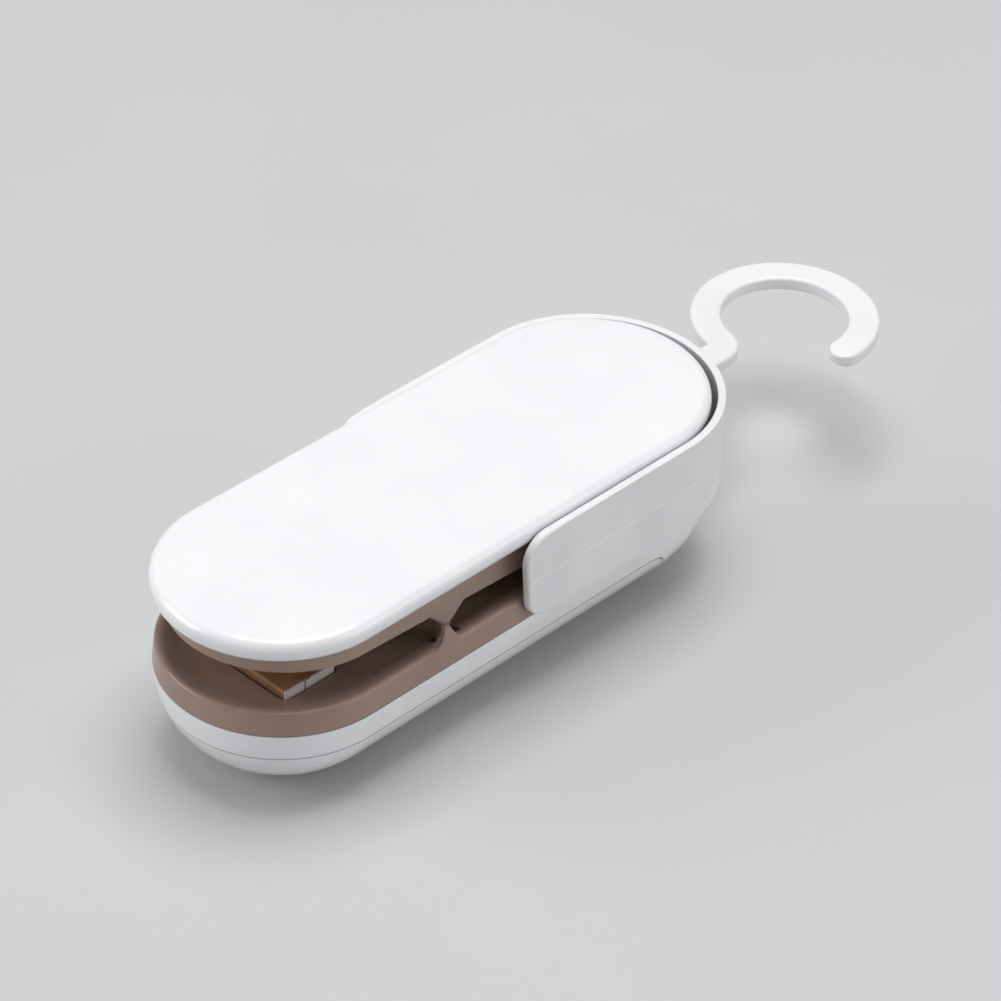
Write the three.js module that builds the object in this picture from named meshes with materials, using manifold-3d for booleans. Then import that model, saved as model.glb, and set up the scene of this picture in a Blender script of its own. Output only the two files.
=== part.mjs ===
// Handheld heat sealer for plastic bags: a rounded battery base with a floating heater, a lever with
// the sealing pad on a pin at the rear, a sliding lock strap with a hanging hook, and a battery cover
// under the base. Millimetres, +Z up, +X towards the hook, origin at the middle of the flat that the
// base stands on. Left is the -Y side.
import * as THREE from 'three';
import { mergeVertices } from 'three/addons/utils/BufferGeometryUtils.js';
import Module from 'manifold-3d';

const wasm = await Module();
wasm.setup();

// Clearances and rounding shared by all pieces
const gap = 0.3; // running gap between pieces
const seam = 0.2; // joint line between fixed mouldings
const overrun = 2; // how far a cutter passes the face it cuts
const weld = 0.0001; // points closer than this are one
const arcSteps = 20; // facets in each half circle of the body's plan
const roundSides = 20; // facets of bosses and holes
const smallSides = 12; // facets of screws and thin pins
const coilSteps = 8; // points in each turn of a spring
const coilSides = 5; // facets round its wire

// Base: a boat-shaped lower housing of half-round ended plan
const base = {
  length: 102.5,
  width: 38,
  rimHeight: 15.65, // top of the white shell
  flatDrop: 0.25, // height that the flat bottom cuts off the rounded section
  sectionPower: 2.15, // 2 is an ellipse, more is fuller
  wall: 1.5,
  seamHeight: 11, // joint between shell and battery cover
  sectionShares: [0, 0.03, 0.08, 0.16, 0.27, 0.4, 0.55, 0.7, 0.85, 1], // of the rim's height
};
// Battery cover: the lower front of the boat, which slides off to the front
const door = {
  rearEdge: 32.2,
  cornerRadius: 5,
  wall: 1.3,
  tongueWidth: 8,
  tongueLift: 0.6, // above the shell's floor
  tongueLength: 3.2,
  tongueThickness: 0.9,
  railHeight: 9,
  railThickness: 0.8,
  railInner: 14.6,
  railLength: 8,
  hookFront: -31.6,
  hookLength: 2.7,
  hookInner: 13.2,
  hookStem: 1.1,
  hookFoot: 0.7,
  hookToe: 0.7,
  gripPitch: 1.6,
  gripCount: 5,
  gripWidth: 0.7,
  gripDepth: 0.35,
  gripSpan: 11,
  gripStart: 8,
};
// Cells: two round cells side by side
const cell = {
  diameter: 14.5,
  length: 50.5,
  axisHeight: 10.8,
  spacing: 14.9,
  nubDiameter: 5.2,
  nubLength: 1.1,
  edgeRadius: 0.7,
  bayFront: -18.5, // face that the front ends of the cells press on
  springLength: 2.6,
};
// Contacts at the ends of the cells
const contact = {
  thickness: 0.4,
  outerEdge: 12,
  innerEdge: 3,
  bottom: 5.5,
  stripTop: 16.6,
  stripInner: 9.7,
  stripOuter: 11.9,
  stripReach: 11,
  bridgeTop: 15.4,
  springWire: 0.5,
  springWide: 8,
  springNarrow: 5,
  springTurns: 2.5,
};
// Deck: the brown lid of the base, with its rounded rim and dished top
const deck = {
  rimTop: 19.7,
  dishDepth: 1.2,
  draft: 0.3, // how much the outer wall leans in
  rimRadius: 0.7,
  rimWidth: 1.1,
  dishWidth: 4.6,
  dishShares: [[0, 0], [0.15, 0.17], [0.4, 0.58], [0.65, 0.88], [1, 1]], // of dish width and depth
  thickness: 1.5,
  skirtBottom: 13.6,
  skirtGap: 0.4,
  skirtWall: 1.1,
  humpWall: 1.1,
  cellClearance: 0.35,
};
// Guide lugs on the deck's sides, with the legs of the lever inside them
const lug = {
  front: -20.1,
  peak: -16.9,
  rear: -14.3,
  height: 3.4,
  sink: 0.3, // start of the flank below the rim
  flankRadius: 2.6,
  flankAngle: -8,
  tipRadius: 0.6,
  tipAngles: [160, 20],
  tipThickness: 0.6, // its inner face leans out to this
  gap: 0.35, // between lug and lever frame
};
const leg = {
  front: -16.2,
  rear: -14.3,
  outerInset: 0.4, // from the frame's side
  innerInset: 1.5,
  bottom: 15.5,
  barbReach: 0.6,
  barbHeight: 1.2,
  slotFront: 1.5,
  slotRear: 1.7,
  tabFront: -18.9,
  tabRear: -11.9,
  tabTip: 21.9,
  tabTipFront: -16,
  tabTipRear: -14.6,
};
// Heater: a ceramic block that floats on two springs in a well of the deck
const heater = {
  x: -36.55,
  length: 8.7,
  width: 21,
  top: 19.2,
  bottom: 15.5,
  edgeRadius: 1.3,
  flangeReach: 1.7,
  flangeSide: 1.1,
  flangeThickness: 1.2,
  travel: 1.1,
  slitWidth: 0.7,
  slitDepth: 0.9,
  wellGap: 0.45,
  wellCorner: 1,
  rivetDiameter: 2.2,
  rivetHeight: 0.5,
};
const ribbon = {
  width: 1.8,
  thickness: 0.15,
  tailWidth: 0.4,
  tailBottom: 14.8,
  tailInset: 0.35,
  lift: 0.05, // between block and ribbon
};
const tape = { thickness: 0.2, standoff: 0.3, endInset: 0.3 };
const tray = {
  bottom: 8.6,
  thickness: 1.2,
  width: 19,
  front: -42,
  rear: -25.8,
  corner: 1.5,
  postDiameter: 4.2,
  frontPost: -45,
  rearPost: -28,
  postSide: 7.2,
};
const heaterSpring = { diameter: 4.2, wire: 0.45, turns: 5, inset: 3.9, pegHeight: 1.2, pegDiameter: 2.6 };
const switchLeaf = { width: 4, thickness: 0.3, foot: 3, run: 1.9, head: 2.8 };
// Hinge at the rear of the lever
const hinge = {
  x: 40,
  z: 22.6,
  pinDiameter: 2,
  pinLength: 22,
  pinGap: 0.15,
  eyeRadius: 2.5,
  earFoot: 3,
  earInner: 8.2,
  earOuter: 10.6,
  knuckleInner: 4.4,
  knuckleOuter: 7.8,
  closingAngle: 3.8,
};
// Lever: a brown frame under a white cover with a bullnose edge
const lever = {
  shorter: 0.2, // than the base
  wider: 0.06, // than the base, on each side
  centre: -0.32,
  coverThickness: 3,
  coverBottom: 29.3,
  crown: 0.5,
  crownShares: [[0.8, 0.4], [0.5, 0.75], [0.2, 0.95], [0.05, 1]], // of the flat's half width and the crown
  land: 1.56, // flat under the cover between its round edge and the recess
  recessDepth: 1.6,
  overhang: 2.06, // cover edge beyond the frame wall
  frameWall: 1.4,
  plateThickness: 1.4,
  edgeFront: 26.4, // height of the frame's lower edge at its front end
  edgeRear: 21.3, // and at its rear end
  spigotHeight: 1.3,
  spigotWall: 1.2,
  ribThickness: 1.2,
  ribDepth: 1.6,
  ribSide: 6.1,
};
const pad = {
  x: -36.5,
  width: 4.8,
  length: 20.8,
  thickness: 2,
  pocketDepth: 1.3,
  holderWall: 0.7,
  jawGap: 4.14,
};
const returnSpring = {
  x: 8,
  diameter: 6.4,
  wire: 0.6,
  turns: 7,
  bossDiameter: 4.4,
  bossLength: 3,
  seatWall: 1.1,
  seatHeight: 1.2,
  pegHeight: 1.6,
};
// Screws: one pattern of pan head screw, all driven from below
const screw = {
  headDiameter: 3.4,
  headHeight: 1.1,
  headShares: [[0.75, 1], [1, 0.6]], // of the head's radius and height
  shankDiameter: 1.7,
  slotWidth: 0.5,
  slotDepth: 0.45,
  bossDiameter: 4.2,
};
const deckScrew = { x: -26.4, side: 14.3, bossBottom: 11.4, length: 5 };
const trayScrew = { length: 7.8 };
const leverScrew = { front: -22, rear: 24, length: 3.7 };
// Lock strap: a drafted band round the rear half with a flat hanging hook
const strap = {
  wall: 1.22,
  sideGap: 0.41, // between its top edge and the base
  rearGap: 0.8, // behind the base
  draft: 0.18, // how much narrower it is at the bottom
  bottomGap: 0.28, // above the deck's lower edge
  topDrop: 1.03, // below the lever cover's flat
  front: -2.95,
  topCorner: 5,
  bottomCorner: 3,
  travel: 8,
  railBottom: 17.3,
  railHeight: 1,
  railDepth: 0.9,
  railFront: 1,
  railRear: 30,
};
const hook = {
  thickness: 2.4,
  bottom: 20.85,
  barWidth: 4.97,
  radius: 12.8,
  centre: 78.82,
  side: 0.57,
  tipAngle: -90,
  neckAngle: 167,
  neckRadius: 2.85,
  edgeRadius: 0.5,
  stepAngle: 6,
};

// Sizes that follow from the driving ones
const halfWidth = base.width / 2;
const halfStraight = base.length / 2 - halfWidth;
const deckBottom = base.rimHeight + seam;
const deckTopRadius = halfWidth - deck.draft;
const dishTop = deck.rimTop - deck.dishDepth;
const deckUnder = dishTop - deck.thickness;
const bandTop = deck.skirtBottom - gap;
const skirtOuter = halfWidth - base.wall - deck.skirtGap;
const skirtInner = skirtOuter - deck.skirtWall;
const cellRadius = cell.diameter / 2;
const bayRear = cell.bayFront + cell.length + cell.springLength + gap;
const bulkheadFront = cell.bayFront - contact.thickness - seam;
const bulkheadRear = bayRear + contact.thickness + seam;
const coverEdge = lever.coverThickness / 2;
const coverTop = lever.coverBottom + lever.coverThickness;
const leverHalf = halfWidth + lever.wider;
const coverFlat = leverHalf - coverEdge;
const recessRadius = coverFlat - lever.land;
const recessTop = lever.coverBottom + lever.recessDepth;
const leverStraight = (base.length - lever.shorter) / 2 - leverHalf;
const frameHalf = leverHalf - lever.overhang;
const frameInner = frameHalf - lever.frameWall;
const legOuter = frameHalf - leg.outerInset;
const legInner = frameHalf - leg.innerInset;
const frameTop = lever.coverBottom - seam;
const plateUnder = frameTop - lever.plateThickness;
const flangeTop = heater.bottom + heater.flangeThickness;
const tapeTop = heater.top + tape.standoff + tape.thickness;
const trayTop = tray.bottom + tray.thickness;
const heaterSpringSide = heater.width / 2 - heaterSpring.inset;
const strapInner = halfWidth + strap.sideGap;
const strapHalf = strapInner + strap.wall;
const strapRear = base.length / 2 + strap.rearGap + strap.wall;
const strapBottom = deckBottom + strap.bottomGap;
const strapTop = coverTop - strap.topDrop;
const bossRadius = screw.bossDiameter / 2;
const pilotRadius = screw.shankDiameter / 2 + seam;
const closing = THREE.MathUtils.degToRad(hinge.closingAngle);

// Materials
const plastic = (name, color, roughness) =>
  new THREE.MeshStandardMaterial({ name, color, roughness, metalness: 0 });
const metal = (name, color, roughness) =>
  new THREE.MeshStandardMaterial({ name, color, roughness, metalness: 1 });
const finish = {
  glossWhite: plastic('gloss white', 0xf0f0f1, 0.15),
  satinWhite: plastic('satin white', 0xe6e6e6, 0.35),
  taupe: plastic('taupe', 0x86706a, 0.45),
  ceramic: plastic('ceramic', 0xd8ccc6, 0.6),
  amber: plastic('amber tape', 0x9a6a3c, 0.4),
  silicone: plastic('silicone', 0xd9643a, 0.6),
  cellSleeve: plastic('cell sleeve', 0x3a3f45, 0.35),
  steel: metal('spring steel', 0xb8babd, 0.3),
  nickel: metal('nickel strip', 0xc9c6bd, 0.3),
  nichrome: metal('heating ribbon', 0x8d8780, 0.4),
};

// Solids from closed geometry, and back
const toSolid = (geometry) => {
  const bare = geometry.clone();
  bare.deleteAttribute('normal');
  bare.deleteAttribute('uv');
  const merged = mergeVertices(bare, weld);
  const faces = [];
  const { array } = merged.index;
  for (let i = 0; i < array.length; i += 3) {
    const corners = [array[i], array[i + 1], array[i + 2]];
    if (new Set(corners).size === 3) faces.push(...corners);
  }
  return new wasm.Manifold(
    new wasm.Mesh({
      numProp: 3,
      vertProperties: Float32Array.from(merged.attributes.position.array),
      triVerts: Uint32Array.from(faces),
    }),
  );
};
const toGeometry = (solid) => {
  const { vertProperties, triVerts } = solid.getMesh();
  const geometry = new THREE.BufferGeometry();
  geometry.setAttribute('position', new THREE.BufferAttribute(vertProperties, 3));
  geometry.setIndex(new THREE.BufferAttribute(triVerts, 1));
  geometry.computeVertexNormals();
  return geometry;
};
const join = (...solids) => solids.reduce((sum, solid) => sum.add(solid));

// Outlines in a plane
const point = (x, y) => new THREE.Vector2(x, y);
const arc = (x, y, radius, from, to, steps) =>
  Array.from({ length: steps + 1 }, (_, i) => {
    const angle = THREE.MathUtils.degToRad(from + ((to - from) * i) / steps);
    return point(x + radius * Math.cos(angle), y + radius * Math.sin(angle));
  });
const circle = (x, y, radius, sides) => arc(x, y, radius, 0, 360 - 360 / sides, sides - 1);
const rectangle = (x0, y0, x1, y1) => [point(x0, y0), point(x1, y0), point(x1, y1), point(x0, y1)];
const roundedRectangle = (x0, y0, x1, y1, radius, steps = 4) => [
  ...arc(x1 - radius, y0 + radius, radius, -90, 0, steps),
  ...arc(x1 - radius, y1 - radius, radius, 0, 90, steps),
  ...arc(x0 + radius, y1 - radius, radius, 90, 180, steps),
  ...arc(x0 + radius, y0 + radius, radius, 180, 270, steps),
];

// Extrusions of an outline upwards, across the body and along the body
const prism = (outline, depth) =>
  new THREE.ExtrudeGeometry(new THREE.Shape(outline), { depth, bevelEnabled: false, steps: 1 });
const axisX = new THREE.Vector3(1, 0, 0);
const axisY = new THREE.Vector3(0, 1, 0);
const axisZ = new THREE.Vector3(0, 0, 1);
const acrossTurn = new THREE.Matrix4().makeBasis(axisX, axisZ, axisY.clone().negate());
const alongTurn = new THREE.Matrix4().makeBasis(axisY, axisZ, axisX);
const upright = (outline, low, high) => toSolid(prism(outline, high - low).translate(0, 0, low));
const across = (outline, low, high) =>
  toSolid(prism(outline, high - low).applyMatrix4(acrossTurn).translate(0, high, 0));
const along = (outline, low, high) =>
  toSolid(prism(outline, high - low).applyMatrix4(alongTurn).translate(low, 0, 0));
const box = (x0, x1, y0, y1, z0, z1) => upright(rectangle(x0, y0, x1, y1), z0, z1);
const post = (x, y, radius, low, high, sides = roundSides) =>
  upright(circle(x, y, radius, sides), low, high);
const bothSides = (build) => join(build(1), build(-1));
const sideBand = (side, inner, outer) => (side > 0 ? [inner, outer] : [-outer, -inner]);
const sideBox = (side, x0, x1, inner, outer, z0, z1) => box(x0, x1, ...sideBand(side, inner, outer), z0, z1);

// Lofts through half-round ended rings; a ring is a radius, a height and the plan it belongs to
const ring = (plan, radius, heightAt) => {
  const rear = arc(plan.centre + plan.straight, 0, radius, -90, 90, arcSteps);
  const front = arc(plan.centre - plan.straight, 0, radius, 90, 270, arcSteps);
  return [...rear, ...front].map((p) => new THREE.Vector3(p.x, p.y, heightAt(p.x)));
};
const loft = (rings) => {
  const count = rings[0].length;
  const middle = (points) =>
    points.reduce((sum, p) => sum.add(p), new THREE.Vector3()).divideScalar(count);
  const vertices = [...rings.flat(), middle(rings[0]), middle(rings.at(-1))];
  const top = (rings.length - 1) * count;
  const faces = [];
  for (let i = 0; i < count; i += 1) {
    const j = (i + 1) % count;
    for (let low = 0; low < top; low += count) {
      const high = low + count;
      faces.push(low + i, low + j, high + j, low + i, high + j, high + i);
    }
    faces.push(vertices.length - 2, j, i, vertices.length - 1, top + i, top + j);
  }
  const geometry = new THREE.BufferGeometry();
  const places = vertices.flatMap((p) => [p.x, p.y, p.z]);
  geometry.setAttribute('position', new THREE.Float32BufferAttribute(places, 3));
  geometry.setIndex(faces);
  return toSolid(geometry);
};
const loftPlan = (plan, profile) =>
  loft(profile.map(([radius, height]) => ring(plan, radius, () => height)));
const basePlan = { centre: 0, straight: halfStraight };
const leverPlan = { centre: lever.centre, straight: leverStraight };
const strapPlan = {
  centre: (strapRear - strapHalf - halfStraight) / 2,
  straight: (strapRear - strapHalf + halfStraight) / 2,
};

// A coil spring that climbs along an axis, straight for one wire diameter at each end
const coil = (name, { foot, axis, length, radiusLow, radiusHigh, wire, turns }) => {
  const first = axis.z ? axisX : axisY;
  const second = axis.clone().cross(first);
  const total = turns * coilSteps;
  const points = Array.from({ length: total + 1 }, (_, i) => {
    const angle = (i / coilSteps) * 2 * Math.PI;
    const radius = radiusLow + ((radiusHigh - radiusLow) * i) / total - wire / 2;
    return foot
      .clone()
      .addScaledVector(axis, wire / 2 + ((length - wire) * i) / total)
      .addScaledVector(first, radius * Math.cos(angle))
      .addScaledVector(second, radius * Math.sin(angle));
  });
  points.unshift(points[0].clone().addScaledVector(second, -wire));
  points.push(points.at(-1).clone().addScaledVector(second, wire * Math.cos(turns * 2 * Math.PI)));
  const beyond = coilSteps / 2 + 1;
  const gaps = points.flatMap((p, i) => points.slice(i + beyond).map((q) => p.distanceTo(q) - wire));
  console.log(`${name}: least gap to itself ${Math.min(...gaps).toFixed(2)} mm`);
  const rings = points.map((p, i) => {
    const ahead = points[Math.min(i + 1, points.length - 1)];
    const behind = points[Math.max(i - 1, 0)];
    const tangent = ahead.clone().sub(behind).normalize();
    const side = axis.clone().cross(tangent).normalize();
    const up = tangent.clone().cross(side);
    return Array.from({ length: coilSides }, (_, k) => {
      const angle = (k / coilSides) * 2 * Math.PI;
      return p
        .clone()
        .addScaledVector(side, (wire / 2) * Math.cos(angle))
        .addScaledVector(up, (wire / 2) * Math.sin(angle));
    });
  });
  return loft(rings);
};

// A solid turned about the Z axis
const turned = (profile, sides) => {
  const points = profile.map(([radius, height]) => point(radius, height));
  return toSolid(new THREE.LatheGeometry(points, sides).rotateX(Math.PI / 2));
};

// Base section: half width at a height, a rounded boat section cut flat at the bottom
const sectionHalfWidth = (height) => {
  const drop = Math.max(base.rimHeight - height, 0) / (base.rimHeight + base.flatDrop);
  return halfWidth * (1 - drop ** base.sectionPower) ** (1 / base.sectionPower);
};
const boat = (inset) =>
  loftPlan(
    basePlan,
    base.sectionShares.map((share) => [
      sectionHalfWidth(share * base.rimHeight) - inset,
      inset + (base.rimHeight - inset) * share,
    ]),
  );
const boatOuter = boat(0);
const boatCavity = (wall) => {
  const mouth = halfWidth - wall;
  const above = [[mouth, base.rimHeight - seam], [mouth, base.rimHeight + overrun]];
  return boat(wall).add(loftPlan(basePlan, above));
};

// Battery cover region: under the level seam, and in front of its rear edge
const doorRegion = (grow) => {
  const front = -base.length;
  const rear = door.rearEdge + grow;
  const top = base.seamHeight + grow;
  const corner = arc(rear - door.cornerRadius, top - door.cornerRadius, door.cornerRadius, 0, 90, 6);
  const outline = [point(front, -overrun), point(rear, -overrun), ...corner, point(front, top)];
  return across(outline, -base.width, base.width);
};

const buildBatteryCover = () => {
  // Latch tongue that reaches into the fixed rear of the shell
  const tongueLow = base.wall + door.tongueLift;
  const tongueTop = tongueLow + door.tongueThickness;
  const side = door.tongueWidth / 2;
  const rear = door.rearEdge - seam;
  const tongue = join(
    box(rear - 2 * door.tongueLength, rear + door.tongueLength, -side, side, tongueLow, tongueTop),
    box(rear - 2 * door.tongueLength, rear - door.tongueLength, -side, side, door.wall / 2, tongueTop),
  );
  // Rails that ride on the hooks of the shell
  const rail = (which) =>
    sideBox(
      which,
      -halfStraight,
      door.railLength - halfStraight,
      door.railInner,
      halfWidth,
      door.railHeight,
      door.railHeight + door.railThickness,
    );
  const rails = bothSides(rail).intersect(boat(door.wall / 2));
  let cover = boatOuter.subtract(boatCavity(door.wall)).intersect(doorRegion(-seam / 2));
  cover = join(cover, rails, tongue);
  // Finger grip
  for (let i = 0; i < door.gripCount; i += 1) {
    const x = door.gripStart + i * door.gripPitch;
    const span = door.gripSpan / 2;
    cover = cover.subtract(box(x, x + door.gripWidth, -span, span, -overrun, door.gripDepth));
  }
  return cover;
};

const buildBaseShell = () => {
  const beamBottom = deckScrew.bossBottom;
  const inside = boat(base.wall / 2);
  // Front wall of the cell bay, hung from a beam between the sides
  const bulkhead = (x, low) => box(x, x + base.wall, -halfWidth, halfWidth, low, bandTop);
  const frontFace = bulkheadFront - base.wall;
  const cellBottom = cell.axisHeight - cellRadius;
  const frontWall = bulkhead(frontFace, cellBottom).intersect(boat(door.wall + gap));
  const frontBeam = bulkhead(frontFace, beamBottom);
  const rearWall = bulkhead(bulkheadRear, 0);
  // Screw bosses with their webs, and the hooks for the battery cover
  const boss = (side) => {
    const half = base.wall / 2;
    const { x } = deckScrew;
    return join(
      post(x, side * deckScrew.side, bossRadius, beamBottom, bandTop),
      sideBox(side, x - half, x + half, deckScrew.side, halfWidth, beamBottom, bandTop),
    );
  };
  const bossHole = (side) => post(deckScrew.x, side * deckScrew.side, pilotRadius, 0, base.length);
  const catchHook = (side) => {
    const rear = door.hookFront + door.hookLength;
    const low = door.railHeight - gap - door.hookFoot;
    const stem = door.hookInner + door.hookStem;
    return join(
      sideBox(side, door.hookFront, rear, door.hookInner, stem, low, bandTop),
      sideBox(side, door.hookFront, rear, door.hookInner, stem + door.hookToe, low, low + door.hookFoot),
      sideBox(side, door.hookFront, rear, door.hookInner, halfWidth, beamBottom, bandTop),
    );
  };
  const inner = join(frontBeam, rearWall, bothSides(boss), bothSides(catchHook)).intersect(inside);
  return boatOuter
    .subtract(boatCavity(base.wall))
    .subtract(doorRegion(seam / 2))
    .add(frontWall)
    .add(inner)
    .subtract(bothSides(bossHole));
};

// Deck: rim and dish from one profile, underside pocket, skirt, cell humps, heater well and ears
const deckPlate = () => {
  const round = deck.rimRadius;
  const dishEdge = deckTopRadius - deck.rimWidth;
  const rim = arc(deckTopRadius - round, deck.rimTop - round, round, 0, 90, 4).map((p) => [p.x, p.y]);
  const dish = deck.dishShares.map(([inShare, downShare]) => [
    dishEdge - deck.dishWidth * inShare,
    deck.rimTop - deck.dishDepth * downShare,
  ]);
  const skirt = [[skirtOuter, deck.skirtBottom], [skirtOuter, deckBottom + seam]];
  const pocket = [[skirtInner, 0], [skirtInner, deckUnder]];
  return loftPlan(basePlan, [[halfWidth, deckBottom], ...rim, ...dish])
    .add(loftPlan(basePlan, skirt))
    .subtract(loftPlan(basePlan, pocket));
};
const cellSleeve = (side, radius, front, rear) =>
  along(circle((side * cell.spacing) / 2, cell.axisHeight, radius, roundSides), front, rear);
const cellHollow = (side) =>
  cellSleeve(side, cellRadius + deck.cellClearance, cell.bayFront, bayRear + contact.thickness);
const cellHump = (side) => {
  const front = cell.bayFront - deck.humpWall;
  const rear = bayRear + contact.thickness + deck.humpWall;
  const radius = cellRadius + deck.cellClearance + deck.humpWall;
  const keep = box(front, rear, -skirtInner, skirtInner, deckUnder, deck.rimTop + deck.rimRadius);
  return cellSleeve(side, radius, front, rear).intersect(keep);
};
const heaterWell = () => {
  const lengthways = heater.length / 2 + tape.standoff + tape.thickness + heater.wellGap;
  const sideways = heater.width / 2 + heater.wellGap;
  const outline = roundedRectangle(
    heater.x - lengthways,
    -sideways,
    heater.x + lengthways,
    sideways,
    heater.wellCorner,
  );
  return upright(outline, 0, base.length);
};
const deckScrewPlaces = [[deckScrew.x, deckScrew.side], [deckScrew.x, -deckScrew.side]];
const trayScrewPlaces = [
  [tray.rearPost, tray.postSide],
  [tray.rearPost, -tray.postSide],
  [tray.frontPost, 0],
];
const screwPlaces = [...deckScrewPlaces, ...trayScrewPlaces];
const screwBosses = () =>
  join(...screwPlaces.map(([x, y]) => post(x, y, bossRadius, deck.skirtBottom, deckUnder + seam)));
const screwPilots = () =>
  join(...screwPlaces.map(([x, y]) => post(x, y, pilotRadius, 0, deckUnder, smallSides)));
const guideLug = (side) => {
  const start = deck.rimTop - lug.sink;
  const foot = dishTop - seam;
  const tipHeight = deck.rimTop + lug.height - lug.tipRadius;
  const outline = [
    point(lug.front, foot),
    ...arc(lug.front, start + lug.flankRadius, lug.flankRadius, -90, lug.flankAngle, 8),
    ...arc(lug.peak, tipHeight, lug.tipRadius, ...lug.tipAngles, 5),
    point(lug.rear, deck.rimTop),
    point(lug.rear, foot),
  ];
  const inner = side * (frameHalf + lug.gap);
  const outer = side * deckTopRadius;
  const section = [
    point(inner, foot),
    point(outer, foot),
    point(outer, deck.rimTop + lug.height),
    point(outer - side * lug.tipThickness, deck.rimTop + lug.height),
    point(inner, deck.rimTop),
  ];
  return across(outline, Math.min(inner, outer), Math.max(inner, outer)).intersect(
    along(section, lug.front - overrun, lug.rear + overrun),
  );
};
const legSlot = (side) =>
  sideBox(
    side,
    leg.front - leg.slotFront,
    leg.rear + leg.slotRear,
    legInner - seam,
    frameHalf + gap,
    0,
    base.length,
  );
const railGroove = (side) =>
  sideBox(
    side,
    strap.railFront - gap,
    strap.railRear + strap.travel + gap,
    strapInner - strap.railDepth - 2 * gap,
    halfWidth + overrun,
    strap.railBottom - gap,
    strap.railBottom + strap.railHeight + gap,
  );
const hingeEar = (side) => {
  const { x, z } = hinge;
  const outline = [
    point(x - hinge.earFoot, deckUnder + seam),
    point(x + hinge.earFoot, deckUnder + seam),
    ...arc(x, z, hinge.eyeRadius, 0, 180, 10),
  ];
  return across(outline, ...sideBand(side, hinge.earInner, hinge.earOuter));
};
const pinHole = () =>
  across(circle(hinge.x, hinge.z, hinge.pinDiameter / 2 + hinge.pinGap, roundSides), -halfWidth, halfWidth);
const springSeat = () => {
  const inside = returnSpring.diameter / 2 + gap;
  const outside = inside + returnSpring.seatWall;
  const { x, bossDiameter } = returnSpring;
  return post(x, 0, outside, deckUnder + seam, dishTop + returnSpring.seatHeight)
    .subtract(post(x, 0, inside, dishTop, base.length))
    .add(post(x, 0, bossDiameter / 2, deckUnder + seam, dishTop + returnSpring.pegHeight));
};
const buildDeck = () =>
  join(deckPlate(), screwBosses(), springSeat(), ...[cellHump, guideLug, hingeEar].map(bothSides))
    .subtract(bothSides(cellHollow))
    .subtract(heaterWell())
    .subtract(screwPilots())
    .subtract(bothSides(legSlot))
    .subtract(bothSides(railGroove))
    .subtract(pinHole());

// Heater: block with its flange, ribbon, release tape and contact rivet
const blockProfile = (offset, low) => {
  const half = heater.length / 2 + offset;
  const radius = heater.edgeRadius + offset;
  const top = heater.top + offset;
  return [
    point(heater.x + half, low),
    ...arc(heater.x + half - radius, top - radius, radius, 0, 90, 4),
    ...arc(heater.x - half + radius, top - radius, radius, 90, 180, 4),
    point(heater.x - half, low),
  ];
};
const buildHeaterBlock = () => {
  const half = heater.width / 2;
  const flangeHalf = heater.length / 2 + heater.flangeReach;
  const flangeSide = half + heater.flangeSide;
  const { x, bottom } = heater;
  const peg = (side) =>
    post(
      x,
      side * heaterSpringSide,
      heaterSpring.pegDiameter / 2,
      bottom - heaterSpring.pegHeight,
      bottom + seam,
      smallSides,
    );
  const slit = (side) =>
    sideBox(
      side,
      x - heater.slitWidth / 2,
      x + heater.slitWidth / 2,
      half - heater.slitDepth,
      half + heater.flangeSide + overrun,
      bottom - overrun,
      heater.top + overrun,
    );
  return join(
    across(blockProfile(0, bottom), -half, half),
    box(x - flangeHalf, x + flangeHalf, -flangeSide, flangeSide, bottom, flangeTop),
    bothSides(peg),
  ).subtract(bothSides(slit));
};
const buildRibbon = () => {
  const low = heater.top + ribbon.lift;
  const high = low + ribbon.thickness;
  const reach = heater.width / 2 - ribbon.tailInset;
  const tail = (side) =>
    sideBox(
      side,
      heater.x - ribbon.tailWidth / 2,
      heater.x + ribbon.tailWidth / 2,
      reach - ribbon.thickness,
      reach,
      ribbon.tailBottom,
      high,
    );
  const strip = box(heater.x - ribbon.width / 2, heater.x + ribbon.width / 2, -reach, reach, low, high);
  return strip.add(bothSides(tail));
};
const buildTape = () => {
  const low = flangeTop + gap;
  const reach = heater.width / 2 - tape.endInset;
  const inner = blockProfile(tape.standoff, low).reverse();
  return across([...blockProfile(tape.standoff + tape.thickness, low), ...inner], -reach, reach);
};
const rivetBottom = heater.bottom - seam - heater.rivetHeight;
const buildContactRivet = () =>
  post(heater.x, 0, heater.rivetDiameter / 2, rivetBottom, heater.bottom - seam, smallSides);

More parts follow.
